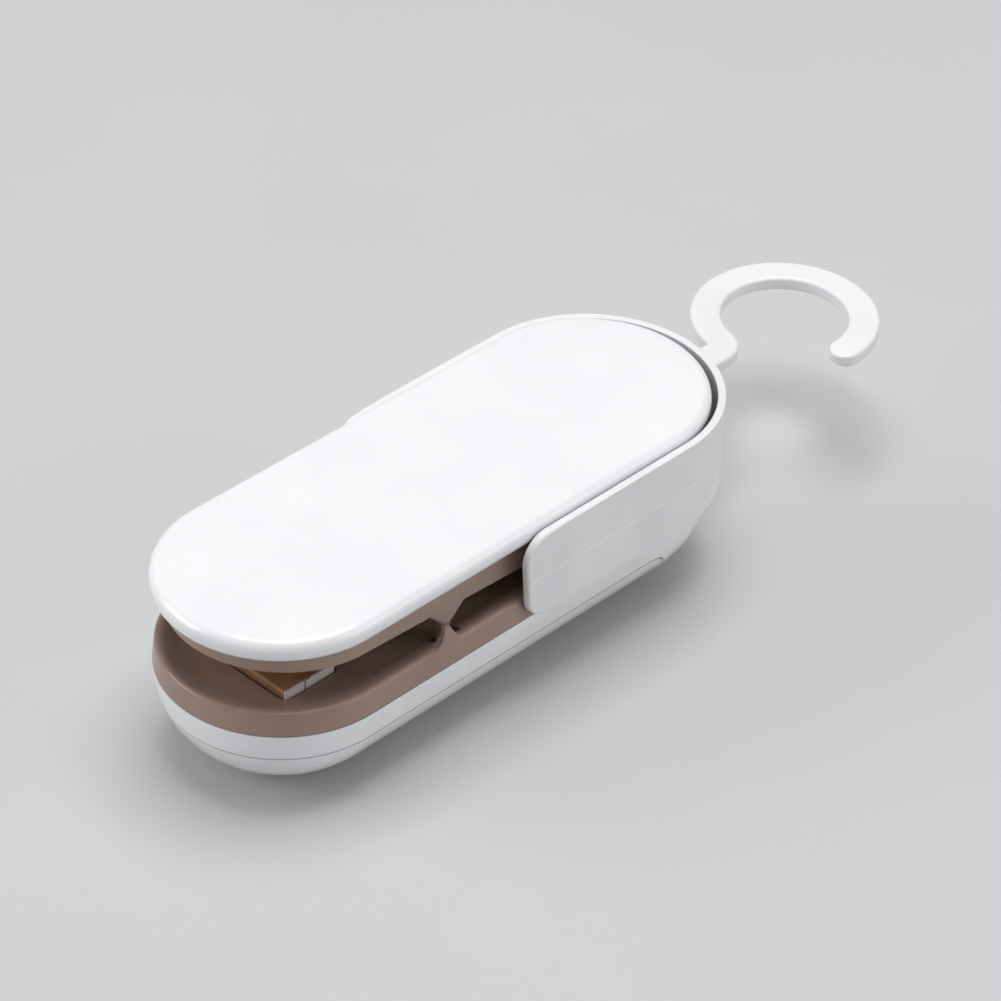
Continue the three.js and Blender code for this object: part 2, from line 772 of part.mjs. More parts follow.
// Tray under the heater, with posts for its screws, spring pegs and the switch leaf
const buildTray = () => {
  const half = tray.width / 2;
  const radius = tray.postDiameter / 2;
  const posts = trayScrewPlaces.map(([x, y]) => post(x, y, radius, tray.bottom, bandTop));
  const holes = trayScrewPlaces.map(([x, y]) => post(x, y, pilotRadius, 0, base.length, smallSides));
  const peg = (side) =>
    post(
      heater.x,
      side * heaterSpringSide,
      heaterSpring.pegDiameter / 2,
      tray.bottom,
      trayTop + heaterSpring.pegHeight,
      smallSides,
    );
  return join(
    upright(roundedRectangle(tray.front, -half, tray.rear, half, tray.corner), tray.bottom, trayTop),
    box(tray.frontPost, tray.front + tray.corner, -radius, radius, tray.bottom, trayTop),
    bothSides(peg),
    ...posts,
  ).subtract(join(...holes));
};
const buildSwitchLeaf = () => {
  const head = switchLeaf.head / 2;
  const bend = heater.x + head;
  const foot = bend + switchLeaf.run;
  const end = foot + switchLeaf.foot;
  const t = switchLeaf.thickness;
  const low = trayTop + seam;
  const rivetTop = rivetBottom - heater.travel - seam;
  const high = rivetTop - heater.rivetHeight - t;
  const outline = [
    point(end, low),
    point(end, low + t),
    point(foot, low + t),
    point(bend, high + t),
    point(heater.x - head, high + t),
    point(heater.x - head, high),
    point(bend, high),
    point(foot, low),
  ];
  return across(outline, -switchLeaf.width / 2, switchLeaf.width / 2).add(
    post(heater.x, 0, heater.rivetDiameter / 2, high, rivetTop, smallSides),
  );
};

// Contacts of the cells
const buildContactStrip = (side) =>
  join(
    sideBox(
      side,
      cell.bayFront - contact.thickness,
      cell.bayFront,
      contact.innerEdge,
      contact.outerEdge,
      contact.bottom,
      contact.stripTop,
    ),
    sideBox(
      side,
      cell.bayFront - contact.stripReach,
      cell.bayFront,
      contact.stripInner,
      contact.stripOuter,
      contact.stripTop - contact.thickness,
      contact.stripTop,
    ),
  );
const buildBridgePlate = () =>
  box(
    bayRear,
    bayRear + contact.thickness,
    -contact.outerEdge,
    contact.outerEdge,
    contact.bottom,
    contact.bridgeTop,
  );
const buildCell = () => {
  const r = cell.edgeRadius;
  const body = cell.length - cell.nubLength;
  const corner = (y, from) => arc(cellRadius - r, y, r, from, from + 90, 2).map((p) => [p.x, p.y]);
  const nub = cell.nubDiameter / 2;
  return turned(
    [[0, 0], ...corner(r, -90), ...corner(body - r, 0), [nub, body], [nub, cell.length], [0, cell.length]],
    roundSides,
  );
};

// Lever frame: wall with a sloping lower edge, plate, spigot, ribs, tabs, legs, knuckles, pad holder
const padFront = pad.x - pad.width / 2;
const padRear = pad.x + pad.width / 2;
const jawHeight = (x) => tapeTop + pad.jawGap + (padRear - x) * Math.tan(closing);
const edgeHeight = (x) => {
  const front = leverPlan.centre - leverStraight - frameHalf;
  const rear = leverPlan.centre + leverStraight + frameHalf;
  return lever.edgeFront + ((lever.edgeRear - lever.edgeFront) * (x - front)) / (rear - front);
};
const frameShell = () => {
  const spigotOuter = recessRadius - gap;
  const spigotInner = spigotOuter - lever.spigotWall;
  const spigotTop = frameTop + lever.spigotHeight;
  return loft([ring(leverPlan, frameHalf, edgeHeight), ring(leverPlan, frameHalf, () => frameTop)])
    .subtract(
      loft([
        ring(leverPlan, frameInner, (x) => edgeHeight(x) - overrun),
        ring(leverPlan, frameInner, () => plateUnder),
      ]),
    )
    .add(loftPlan(leverPlan, [[spigotOuter, frameTop - seam], [spigotOuter, spigotTop]]))
    .subtract(loftPlan(leverPlan, [[spigotInner, frameTop], [spigotInner, spigotTop + overrun]]));
};
const frameRib = (side) => {
  const half = lever.ribThickness / 2;
  return sideBox(
    side,
    padRear,
    hinge.x,
    lever.ribSide - half,
    lever.ribSide + half,
    plateUnder - lever.ribDepth,
    plateUnder + seam,
  );
};
const frameLeg = (side) => {
  const tab = [
    point(leg.tabFront, edgeHeight(leg.tabFront)),
    point(leg.tabFront, edgeHeight(leg.tabFront) + overrun),
    point(leg.tabRear, edgeHeight(leg.tabRear) + overrun),
    point(leg.tabRear, edgeHeight(leg.tabRear)),
    point(leg.tabTipRear, leg.tabTip),
    point(leg.tabTipFront, leg.tabTip),
  ];
  const barbTop = leg.bottom + leg.barbHeight;
  const barbInner = legInner - leg.barbReach;
  return join(
    across(tab, ...sideBand(side, frameInner, frameHalf)),
    sideBox(side, leg.front, leg.rear, legInner, legOuter, leg.bottom, edgeHeight(leg.front) + overrun),
    sideBox(side, leg.front, leg.rear, barbInner, legInner + seam, leg.bottom, barbTop),
  );
};
const knuckle = (side) => {
  const { x, z, eyeRadius } = hinge;
  const outline = [
    point(x + eyeRadius, plateUnder + seam),
    point(x - eyeRadius, plateUnder + seam),
    ...arc(x, z, eyeRadius, 180, 360, 10),
  ];
  return across(outline, ...sideBand(side, hinge.knuckleInner, hinge.knuckleOuter));
};
const padHolder = () => {
  const lip = pad.thickness - pad.pocketDepth;
  const front = padFront - seam - pad.holderWall;
  const rear = padRear + seam + pad.holderWall;
  const outside = [
    point(front, plateUnder + seam),
    point(front, jawHeight(front) + lip),
    point(rear, jawHeight(rear) + lip),
    point(rear, plateUnder + seam),
  ];
  const roof = pad.thickness + seam;
  const pocket = [
    point(padFront - seam, jawHeight(padFront) + roof),
    point(padFront - seam, jawHeight(padFront) - overrun),
    point(padRear + seam, jawHeight(padRear) - overrun),
    point(padRear + seam, jawHeight(padRear) + roof),
  ];
  const inner = pad.length / 2 + seam;
  const outer = inner + pad.holderWall;
  return across(outside, -outer, outer).subtract(across(pocket, -inner, inner));
};
const leverScrewPlaces = [leverScrew.front, leverScrew.rear];
const buildLeverFrame = () => {
  const { x, bossDiameter, bossLength } = returnSpring;
  const holes = leverScrewPlaces.map((place) => post(place, 0, pilotRadius, 0, base.length, smallSides));
  return join(
    frameShell(),
    bothSides(frameRib),
    bothSides(frameLeg),
    bothSides(knuckle),
    padHolder(),
    post(x, 0, bossDiameter / 2, plateUnder - bossLength, plateUnder + seam),
  )
    .subtract(join(...holes))
    .subtract(pinHole());
};
const buildPad = () => {
  const outline = [
    point(padFront, jawHeight(padFront)),
    point(padRear, jawHeight(padRear)),
    point(padRear, jawHeight(padRear) + pad.thickness),
    point(padFront, jawHeight(padFront) + pad.thickness),
  ];
  return across(outline, -pad.length / 2, pad.length / 2);
};
const buildLeverCover = () => {
  const edge = arc(coverFlat, lever.coverBottom + coverEdge, coverEdge, -90, 90, 8).map((p) => [p.x, p.y]);
  const crown = lever.crownShares.map(([inShare, upShare]) => [
    coverFlat * inShare,
    coverTop + lever.crown * upShare,
  ]);
  const recess = [[recessRadius, lever.coverBottom - overrun], [recessRadius, recessTop]];
  const posts = leverScrewPlaces.map((x) => post(x, 0, bossRadius, lever.coverBottom, recessTop + seam));
  const pilotTop = plateUnder + leverScrew.length + seam;
  const pilots = leverScrewPlaces.map((x) => post(x, 0, pilotRadius, 0, pilotTop, smallSides));
  const shell = loftPlan(leverPlan, [...edge, ...crown]).subtract(loftPlan(leverPlan, recess));
  return join(shell, ...posts).subtract(join(...pilots));
};

// Screw with its head under the origin and its shank upwards
const buildScrew = (length) => {
  const head = screw.headDiameter / 2;
  const shank = screw.shankDiameter / 2;
  const crown = screw.headShares.map(([outShare, downShare]) => [
    head * outShare,
    -screw.headHeight * downShare,
  ]);
  const body = turned(
    [[0, -screw.headHeight], ...crown, [head, 0], [shank, 0], [shank, length], [0, length]],
    smallSides,
  );
  const slot = screw.slotWidth / 2;
  return body.subtract(
    box(-head, head, -slot, slot, -screw.headHeight - overrun, screw.slotDepth - screw.headHeight),
  );
};

// Lock strap with the hook in one moulding
const strapBand = () => {
  const profile = (wall) => [
    [strapHalf - strap.draft - wall, strapBottom],
    [strapHalf - wall, strapTop],
  ];
  const [lowRing, highRing] = profile(strap.wall);
  const hollow = [
    [lowRing[0], strapBottom - overrun],
    lowRing,
    highRing,
    [highRing[0], strapTop + overrun],
  ];
  const { front, topCorner, bottomCorner } = strap;
  const side = [
    ...arc(front + topCorner, strapTop - topCorner, topCorner, 90, 180, 6),
    ...arc(front + bottomCorner, strapBottom + bottomCorner, bottomCorner, 180, 270, 4),
    point(strapRear + overrun, strapBottom),
    point(strapRear + overrun, strapTop),
  ];
  return loftPlan(strapPlan, profile(0))
    .subtract(loftPlan(strapPlan, hollow))
    .intersect(across(side, -base.width, base.width));
};
const strapRail = (side) =>
  sideBox(
    side,
    strap.railFront,
    strap.railRear,
    strapInner - strap.railDepth - gap,
    strapInner + seam,
    strap.railBottom,
    strap.railBottom + strap.railHeight,
  );
const hookOutline = () => {
  const half = hook.barWidth / 2;
  const reach = hook.radius + hook.neckRadius;
  const neckAngle = THREE.MathUtils.degToRad(hook.neckAngle);
  const neckX = hook.centre + reach * Math.cos(neckAngle);
  const neckY = hook.side + reach * Math.sin(neckAngle);
  const ringSteps = Math.round((hook.neckAngle - hook.tipAngle) / hook.stepAngle);
  const neckTurn = 270 - hook.neckAngle;
  const neckSteps = Math.round((180 - neckTurn) / hook.stepAngle);
  const root = strapRear - strap.wall / 2;
  const edge = (offset) => {
    const neck = hook.neckRadius - offset;
    return [
      ...arc(hook.centre, hook.side, hook.radius + offset, hook.tipAngle, hook.neckAngle, ringSteps),
      ...arc(neckX, neckY, neck, hook.neckAngle - 180, -90, neckSteps).slice(1),
      point(root, neckY - neck),
    ];
  };
  const tip = THREE.MathUtils.degToRad(hook.tipAngle);
  const cap = arc(
    hook.centre + hook.radius * Math.cos(tip),
    hook.side + hook.radius * Math.sin(tip),
    half,
    hook.tipAngle + 180,
    hook.tipAngle + 360,
    10,
  ).slice(1, -1);
  return [...edge(half), ...edge(-half).reverse(), ...cap];
};
const buildHook = () => {
  const radius = hook.edgeRadius;
  const geometry = new THREE.ExtrudeGeometry(new THREE.Shape(hookOutline()), {
    depth: hook.thickness - 2 * radius,
    steps: 1,
    bevelThickness: radius,
    bevelSize: radius,
    bevelOffset: -radius,
    bevelSegments: 2,
  });
  return toSolid(geometry.translate(0, 0, hook.bottom + radius));
};
const buildLockStrap = () => join(strapBand(), bothSides(strapRail), buildHook());

// The object: one named mesh for each piece
const object = new THREE.Group();
object.name = 'heat_sealer';
const addPiece = (name, solid, material) => {
  const mesh = new THREE.Mesh(toGeometry(solid), material);
  mesh.name = name;
  object.add(mesh);
  return mesh;
};

addPiece('base_shell', buildBaseShell(), finish.glossWhite);
addPiece('battery_cover', buildBatteryCover(), finish.glossWhite);
addPiece('deck', buildDeck(), finish.taupe);
addPiece('heater_block', buildHeaterBlock(), finish.ceramic);
addPiece('heating_ribbon', buildRibbon(), finish.nichrome);
addPiece('ptfe_tape', buildTape(), finish.amber);
addPiece('contact_rivet', buildContactRivet(), finish.nickel);
addPiece('heater_tray', buildTray(), finish.taupe);
addPiece('switch_leaf', buildSwitchLeaf(), finish.nickel);
addPiece('bridge_plate', buildBridgePlate(), finish.nickel);
const pinOutline = circle(hinge.x, hinge.z, hinge.pinDiameter / 2, roundSides);
addPiece('hinge_pin', across(pinOutline, -hinge.pinLength / 2, hinge.pinLength / 2), finish.steel);
addPiece('lever_frame', buildLeverFrame(), finish.taupe);
addPiece('lever_cover', buildLeverCover(), finish.glossWhite);
addPiece('seal_pad', buildPad(), finish.silicone);
addPiece('lock_strap', buildLockStrap(), finish.satinWhite);

// Pieces that come in a left and a right copy
const sides = [['left', -1], ['right', 1]];
sides.forEach(([sideName, side]) => {
  addPiece(`contact_strip_${sideName}`, buildContactStrip(side), finish.nickel);
  const foot = new THREE.Vector3(heater.x, side * heaterSpringSide, trayTop + seam / 2);
  const heaterCoil = {
    foot,
    axis: axisZ,
    length: heater.bottom - trayTop - seam,
    radiusLow: heaterSpring.diameter / 2,
    radiusHigh: heaterSpring.diameter / 2,
    wire: heaterSpring.wire,
    turns: heaterSpring.turns,
  };
  const name = `heater_spring_${sideName}`;
  addPiece(name, coil(name, heaterCoil), finish.steel);
  const deckMesh = addPiece(`deck_screw_${sideName}`, buildScrew(deckScrew.length), finish.steel);
  deckMesh.position.set(deckScrew.x, side * deckScrew.side, deckScrew.bossBottom - seam);
  const trayMesh = addPiece(`tray_screw_${sideName}`, buildScrew(trayScrew.length), finish.steel);
  trayMesh.position.set(tray.rearPost, side * tray.postSide, tray.bottom - seam);
});
const trayFront = addPiece('tray_screw_front', buildScrew(trayScrew.length), finish.steel);
trayFront.position.set(tray.frontPost, 0, tray.bottom - seam);
[['front', leverScrew.front], ['rear', leverScrew.rear]].forEach(([place, x]) => {
  const mesh = addPiece(`lever_screw_${place}`, buildScrew(leverScrew.length), finish.steel);
  mesh.position.set(x, 0, plateUnder - seam);
});

// Cells, one with its nub to the front and one with its nub to the rear
const leftCell = addPiece('cell_left', buildCell(), finish.cellSleeve);
leftCell.rotation.y = -Math.PI / 2;
leftCell.position.set(cell.bayFront + gap + cell.length, -cell.spacing / 2, cell.axisHeight);
const rightCell = addPiece('cell_right', buildCell(), finish.cellSleeve);
rightCell.rotation.y = Math.PI / 2;
rightCell.position.set(bayRear - gap - cell.length, cell.spacing / 2, cell.axisHeight);
const cellCoil = (foot, axis) => ({
  foot,
  axis,
  length: cell.springLength - gap,
  radiusLow: contact.springWide / 2,
  radiusHigh: contact.springNarrow / 2,
  wire: contact.springWire,
  turns: contact.springTurns,
});
const rearFoot = new THREE.Vector3(bayRear - seam, -cell.spacing / 2, cell.axisHeight);
const rearCoil = cellCoil(rearFoot, axisX.clone().negate());
addPiece('cell_spring_rear', coil('cell_spring_rear', rearCoil), finish.steel);
const frontFoot = new THREE.Vector3(cell.bayFront + seam, cell.spacing / 2, cell.axisHeight);
addPiece('cell_spring_front', coil('cell_spring_front', cellCoil(frontFoot, axisX)), finish.steel);

// Return spring of the lever
const returnCoil = {
  foot: new THREE.Vector3(returnSpring.x, 0, dishTop + seam / 2),
  axis: axisZ,
  length: plateUnder - dishTop - seam,
  radiusLow: returnSpring.diameter / 2,
  radiusHigh: returnSpring.diameter / 2,
  wire: returnSpring.wire,
  turns: returnSpring.turns,
};
addPiece('return_spring', coil('return_spring', returnCoil), finish.steel);

export default object;
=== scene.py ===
"""Looks of the handheld heat sealer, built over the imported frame.

Metres, +Z up, +X towards the hook, origin under the middle of the base; left is the -Y side.
Each sub-assembly is a class that builds, dresses and places its own pieces.
"""

import logging
import math
from collections.abc import Callable, Sequence
from dataclasses import dataclass, field
from enum import Enum

import bmesh
import bpy
from mathutils import Euler, Matrix, Vector


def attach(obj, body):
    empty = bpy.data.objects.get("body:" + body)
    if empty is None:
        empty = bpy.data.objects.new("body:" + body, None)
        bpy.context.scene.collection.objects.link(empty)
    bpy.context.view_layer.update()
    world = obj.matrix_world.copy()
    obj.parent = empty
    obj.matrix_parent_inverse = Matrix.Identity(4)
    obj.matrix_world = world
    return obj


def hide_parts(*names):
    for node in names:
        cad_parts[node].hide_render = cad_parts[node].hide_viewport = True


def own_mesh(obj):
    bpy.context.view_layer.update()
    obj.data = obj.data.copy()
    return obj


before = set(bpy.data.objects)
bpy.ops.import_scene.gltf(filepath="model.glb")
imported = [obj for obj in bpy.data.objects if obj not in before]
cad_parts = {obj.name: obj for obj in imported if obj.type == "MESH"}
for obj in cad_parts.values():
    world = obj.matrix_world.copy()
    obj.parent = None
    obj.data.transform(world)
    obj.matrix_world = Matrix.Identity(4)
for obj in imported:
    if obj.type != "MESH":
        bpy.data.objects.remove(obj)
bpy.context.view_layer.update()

MM = 0.001
# Places closer than NEAR are one place, corners closer than WELD are merged, and a face looks
# along a direction when the cosine between them is over FACING.
NEAR = 1e-6
WELD = 0.002 * MM
FACING = 0.99
LOG = logging.getLogger("heat_sealer")
Colour = tuple[float, float, float]
Place = tuple[float, float, float]
PlaceTest = Callable[[Vector, Vector], bool]
Rings = Sequence[tuple[float, float]]


class Body(Enum):
    """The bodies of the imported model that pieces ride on."""

    BASE = "base"
    LEVER = "lever"
    HEATER = "heater"
    BATTERY_COVER = "battery_cover"
    LOCK_STRAP = "lock_strap"


class Slot(Enum):
    """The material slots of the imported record."""

    GLOSS_WHITE = "gloss_white"
    SATIN_WHITE = "satin_white"
    TAUPE = "taupe"
    CERAMIC = "ceramic"
    AMBER_TAPE = "amber_tape"
    SILICONE = "silicone"
    CELL_SLEEVE = "cell_sleeve"
    STEEL = "steel"
    NICKEL = "nickel"
    RIBBON = "ribbon"


class Pick(Enum):
    """What a selection in edit mode takes."""

    VERTS = "VERT"
    EDGES = "EDGE"
    FACES = "FACE"


class Side(Enum):
    """The two sides of the body, as the sign of Y."""

    LEFT = -1
    RIGHT = 1


# Shader building


class Wire:
    """A shader socket that takes part in arithmetic; each operator adds a Math node."""

    def __init__(self, board: "Board", socket: bpy.types.NodeSocket) -> None:
        """Keep the node board and the socket."""
        self.board = board
        self.socket = socket

    def _math(self, operation: str, first: "Wire | float", second: "Wire | float" = 0.0) -> "Wire":
        """Add a Math node."""
        return self.board.add("ShaderNodeMath", {"operation": operation}, {0: first, 1: second})

    def __add__(self, other: "Wire | float") -> "Wire":
        """Sum."""
        return self._math("ADD", self, other)

    def __radd__(self, other: "Wire | float") -> "Wire":
        """Sum, with a number on the left."""
        return self._math("ADD", other, self)

    def __sub__(self, other: "Wire | float") -> "Wire":
        """Difference."""
        return self._math("SUBTRACT", self, other)

    def __rsub__(self, other: "Wire | float") -> "Wire":
        """Difference, with a number on the left."""
        return self._math("SUBTRACT", other, self)

    def __mul__(self, other: "Wire | float") -> "Wire":
        """Product."""
        return self._math("MULTIPLY", self, other)

    def __rmul__(self, other: "Wire | float") -> "Wire":
        """Product, with a number on the left."""
        return self._math("MULTIPLY", other, self)

    def above(self, limit: float) -> "Wire":
        """1 where the value is over a limit, otherwise 0."""
        return self._math("GREATER_THAN", self, limit)

    def sine(self) -> "Wire":
        """Sine of the value."""
        return self._math("SINE", self)

    def ramp(self, low: float, high: float, start: float = 0.0, end: float = 1.0) -> "Wire":
        """Map a range of the value to another range, clamped and eased.

        Args:
            low: value that becomes start.
            high: value that becomes end.
            start: result at the low value.
            end: result at the high value.

        Returns:
            The mapped value.
        """
        settings = {"interpolation_type": "SMOOTHSTEP"}
        values = {"Value": self, "From Min": low, "From Max": high, "To Min": start, "To Max": end}
        return self.board.add("ShaderNodeMapRange", settings, values)


class Board:
    """The node tree of one material, and the one method that adds nodes to it."""

    def __init__(self, name: str) -> None:
        """Start an empty material with its shader and output.

        Args:
            name: name of the material.
        """
        self.material = bpy.data.materials.new(name)
        self.material.use_nodes = True
        self.tree = self.material.node_tree
        self.tree.nodes.clear()
        self.output = self.tree.nodes.new("ShaderNodeOutputMaterial")
        self.shader = self.tree.nodes.new("ShaderNodeBsdfPrincipled")
        self.tree.links.new(self.shader.outputs[0], self.output.inputs["Surface"])

    def add(
        self,
        kind: str,
        settings: dict[str, object] | None = None,
        values: dict[str | int, object] | None = None,
        result: str | int = 0,
    ) -> Wire:
        """Add a node of any kind.

        Args:
            kind: type of the node.
            settings: its own settings, which are set first; stops are those of a colour ramp.
            values: numbers, colours or wires of its input sockets.
            result: which of its outputs to return.

        Returns:
            The chosen output.
        """
        node = self.tree.nodes.new(kind)
        for key, value in (settings or {}).items():
            if key == "stops":
                elements = node.color_ramp.elements
                while len(elements) < len(value):
                    elements.new(1.0)
                for element, (position, colour) in zip(elements, value):
                    element.position = position
                    element.color = (*colour, 1.0)
            else:
                setattr(node, key, value)
        for key, value in (values or {}).items():
            self.feed(node.inputs[key], value)
        return Wire(self, node.outputs[result])

    def feed(self, socket: bpy.types.NodeSocket, value: object) -> None:
        """Give a socket a link, a colour, a vector or a number.

        Args:
            socket: the input to set.
            value: a Wire, a sequence or a number.
        """
        if isinstance(value, Wire):
            self.tree.links.new(value.socket, socket)
        elif isinstance(value, Sequence) and len(value) == 3 and socket.type == "RGBA":
            socket.default_value = (*value, 1.0)
        else:
            socket.default_value = value

    def surface(self, **values: object) -> None:
        """Set the shader's sockets; underscores in a name stand for spaces.

        Args:
            values: a wire or a plain value for each socket.
        """
        for key, value in values.items():
            self.feed(self.shader.inputs[key.replace("_", " ")], value)

    def coordinates(self) -> Wire:
        """Object coordinates, in metres."""
        return self.add("ShaderNodeTexCoord", result="Object")

    def stretched(self, scale: Place) -> Wire:
        """Object coordinates stretched along the axes."""
        return self.add("ShaderNodeMapping", values={"Vector": self.coordinates(), "Scale": scale})

    def axes(self) -> tuple[Wire, Wire, Wire]:
        """The X, Y and Z of the object coordinates."""
        node = self.tree.nodes.new("ShaderNodeSeparateXYZ")
        self.feed(node.inputs[0], self.coordinates())
        return Wire(self, node.outputs[0]), Wire(self, node.outputs[1]), Wire(self, node.outputs[2])

    def noise(self, size: float, detail: float = 3.0, vector: Wire | None = None) -> Wire:
        """Even noise round a half, whose lumps have a size in metres."""
        values = {"Vector": vector or self.coordinates(), "Scale": 1.0 / size, "Detail": detail}
        return self.add("ShaderNodeTexNoise", values=values)

    def mix(self, factor: Wire | float, first: object, second: object) -> Wire:
        """Mix two colours, by the share of the second."""
        values = {0: factor, 6: first, 7: second}
        return self.add("ShaderNodeMix", {"data_type": "RGBA"}, values, result=2)

    def bump(self, height: Wire, depth: float, normal: Wire | None = None) -> Wire:
        """Raise the surface by a height.

        Args:
            height: value from 0 to 1.
            depth: metres that a height of 1 stands for.
            normal: normal to start from.

        Returns:
            The changed normal.
        """
        values: dict[str | int, object] = {"Height": height, "Distance": depth}
        if normal:
            values["Normal"] = normal
        return self.add("ShaderNodeBump", values=values)

    def rounded(self, radius: float) -> Wire:
        """Normal with the edges rounded to a radius."""
        return self.add("ShaderNodeBevel", {"samples": 4}, {"Radius": radius})

    def edges(self, normal: Wire, reach: float) -> Wire:
        """Mask of the edges, from how far a rounded normal leaves the true one.

        Args:
            normal: the rounded normal.
            reach: difference at which the mask is full.

        Returns:
            1 on an edge and 0 on a plain surface.
        """
        true = self.add("ShaderNodeNewGeometry", result="Normal")
        settings = {"operation": "DOT_PRODUCT"}
        dot = self.add("ShaderNodeVectorMath", settings, {0: normal, 1: true}, "Value")
        return (1.0 - dot).ramp(0.0, reach)


# Finishes


@dataclass(frozen=True)
class Look:
    """A surface that paints its own shader."""

    name: str

    def paint(self, board: Board) -> None:
        """Set the sockets of the shader on a board."""
        raise NotImplementedError

    def material(self) -> bpy.types.Material:
        """Build the material.

        Returns:
            The finished material.
        """
        board = Board(self.name)
        self.paint(board)
        return board.material


@dataclass(frozen=True)
class Moulding(Look):
    """Moulded plastic: flow marks, fine grain, cloudy gloss, and edges painted lighter, partly as rubbed
    wear and partly as a painted highlight.
    """

    colour: Colour
    shade: Colour
    roughness: float
    cloud: float = 0.06
    mottle_size: float = 14 * MM
    scuff_size: float = 3 * MM
    wear_size: float = 2 * MM
    grain_size: float = 0.35 * MM
    grain_depth: float = 0.004 * MM
    ripple_size: float = 9 * MM
    ripple_depth: float = 0.01 * MM
    edge_radius: float = 0.22 * MM
    # Edges are mixed towards this lighter colour in patches: partly rubbed wear and partly a painted
    # highlight along the edges.
    edge_wear_and_highlight_colour: Colour = (0.9, 0.9, 0.9)
    edge_wear_and_highlight_share: float = 0.2
    edge_reach: float = 0.25
    edge_roughness: float = 0.08
    scratch_share: float = 0.05
    coat: float = 0.0
    coat_roughness: float = 0.08
    subsurface: float = 0.0

    def paint(self, board: Board) -> None:
        """Set the sockets of the shader on a board."""
        rounded = board.rounded(self.edge_radius)
        edge = board.edges(rounded, self.edge_reach)
        mottle = board.noise(self.mottle_size, 4.0)
        fine = board.noise(self.grain_size, 2.0)
        ripple = board.noise(self.ripple_size, 1.0)
        scuffs = board.noise(self.scuff_size, 6.0, board.stretched((1.0, 9.0, 9.0))).ramp(0.62, 0.75)
        wear_and_highlight_patches = board.noise(self.wear_size).ramp(0.35, 0.65)
        tone = board.mix(mottle.ramp(0.3, 0.7), self.colour, self.shade)
        # Painted highlight: edges are lightened towards the edge colour in noisy patches, partly for
        # rubbed wear and partly for light caught on the edges.
        tone = board.mix(edge * self.edge_wear_and_highlight_share * wear_and_highlight_patches, tone, self.edge_wear_and_highlight_colour)
        rough = self.roughness + self.cloud * (mottle - 0.5) + self.cloud * (fine - 0.5)
        rough = rough + self.scratch_share * scuffs + self.edge_roughness * edge
        relief = board.bump(ripple, self.ripple_depth, rounded)
        relief = board.bump(fine, self.grain_depth, relief)
        board.surface(
            Base_Color=tone,
            Roughness=rough,
            Normal=relief,
            IOR=1.5,
            Coat_Weight=self.coat,
            Coat_Roughness=self.coat_roughness,
            Subsurface_Weight=self.subsurface,
            Subsurface_Radius=(1.0, 0.9, 0.8),
            Subsurface_Scale=0.6 * MM,
        )


@dataclass(frozen=True)
class ReleaseTape(Look):
    """Brown release cloth: glass weave under a slick coating, darker where it has been hot."""

    colour: Colour
    dark: Colour
    pitch: float = 0.42 * MM
    depth: float = 0.02 * MM
    burn_size: float = 4 * MM
    edge_radius: float = 0.1 * MM

    def paint(self, board: Board) -> None:
        """Set the sockets of the shader on a board."""
        x, y, z = board.axes()
        turn = 2 * math.pi / self.pitch
        along = ((x + z) * turn).sine()
        across = (y * turn).sine()
        weave = (along * across) * 0.5 + 0.5
        burnt = board.noise(self.burn_size, 4.0).ramp(0.35, 0.7)
        tone = board.mix(burnt * 0.6, self.colour, self.dark)
        tone = board.mix(weave * 0.25, tone, self.dark)
        board.surface(
            Base_Color=tone,
            Roughness=0.3 + 0.12 * weave + 0.1 * burnt,
            Normal=board.bump(weave, self.depth, board.rounded(self.edge_radius)),
            IOR=1.4,
        )


@dataclass(frozen=True)
class FiredCeramic(Look):
    """Fired ceramic: matt, faintly speckled, browned towards its edges by heat."""

    colour: Colour
    stain: Colour
    edge_radius: float = 0.3 * MM
    edge_reach: float = 0.3
    speck_size: float = 0.25 * MM
    speck_depth: float = 0.015 * MM
    cloud_size: float = 3 * MM

    def paint(self, board: Board) -> None:
        """Set the sockets of the shader on a board."""
        rounded = board.rounded(self.edge_radius)
        edge = board.edges(rounded, self.edge_reach)
        speck = board.noise(self.speck_size, 3.0)
        cloud = board.noise(self.cloud_size, 4.0)
        tone = board.mix(edge * 0.35 + cloud.ramp(0.5, 0.8) * 0.3, self.colour, self.stain)
        tone = board.mix(speck.ramp(0.62, 0.75) * 0.35, tone, self.stain)
        board.surface(
            Base_Color=tone,
            Roughness=0.52 + 0.15 * speck,
            Normal=board.bump(speck, self.speck_depth, rounded),
        )


@dataclass(frozen=True)
class DrawnMetal(Look):
    """Rolled or drawn metal: fine lines along one axis, cloudy polish and dull spots."""

    colour: Colour
    dull: Colour
    roughness: float
    lines: Place = (0.04, 1.0, 1.0)
    line_size: float = 0.12 * MM
    line_depth: float = 0.003 * MM
    spot_size: float = 1.6 * MM
    edge_radius: float = 0.1 * MM

    def paint(self, board: Board) -> None:
        """Set the sockets of the shader on a board."""
        lines = board.noise(self.line_size, 2.0, board.stretched(self.lines))
        spots = board.noise(self.spot_size, 4.0).ramp(0.5, 0.75)
        tone = board.mix(spots * 0.7, self.colour, self.dull)
        board.surface(
            Base_Color=tone,
            Metallic=1.0,
            Roughness=self.roughness + 0.12 * (lines - 0.5) + 0.15 * spots,
            Normal=board.bump(lines, self.line_depth, board.rounded(self.edge_radius)),
        )


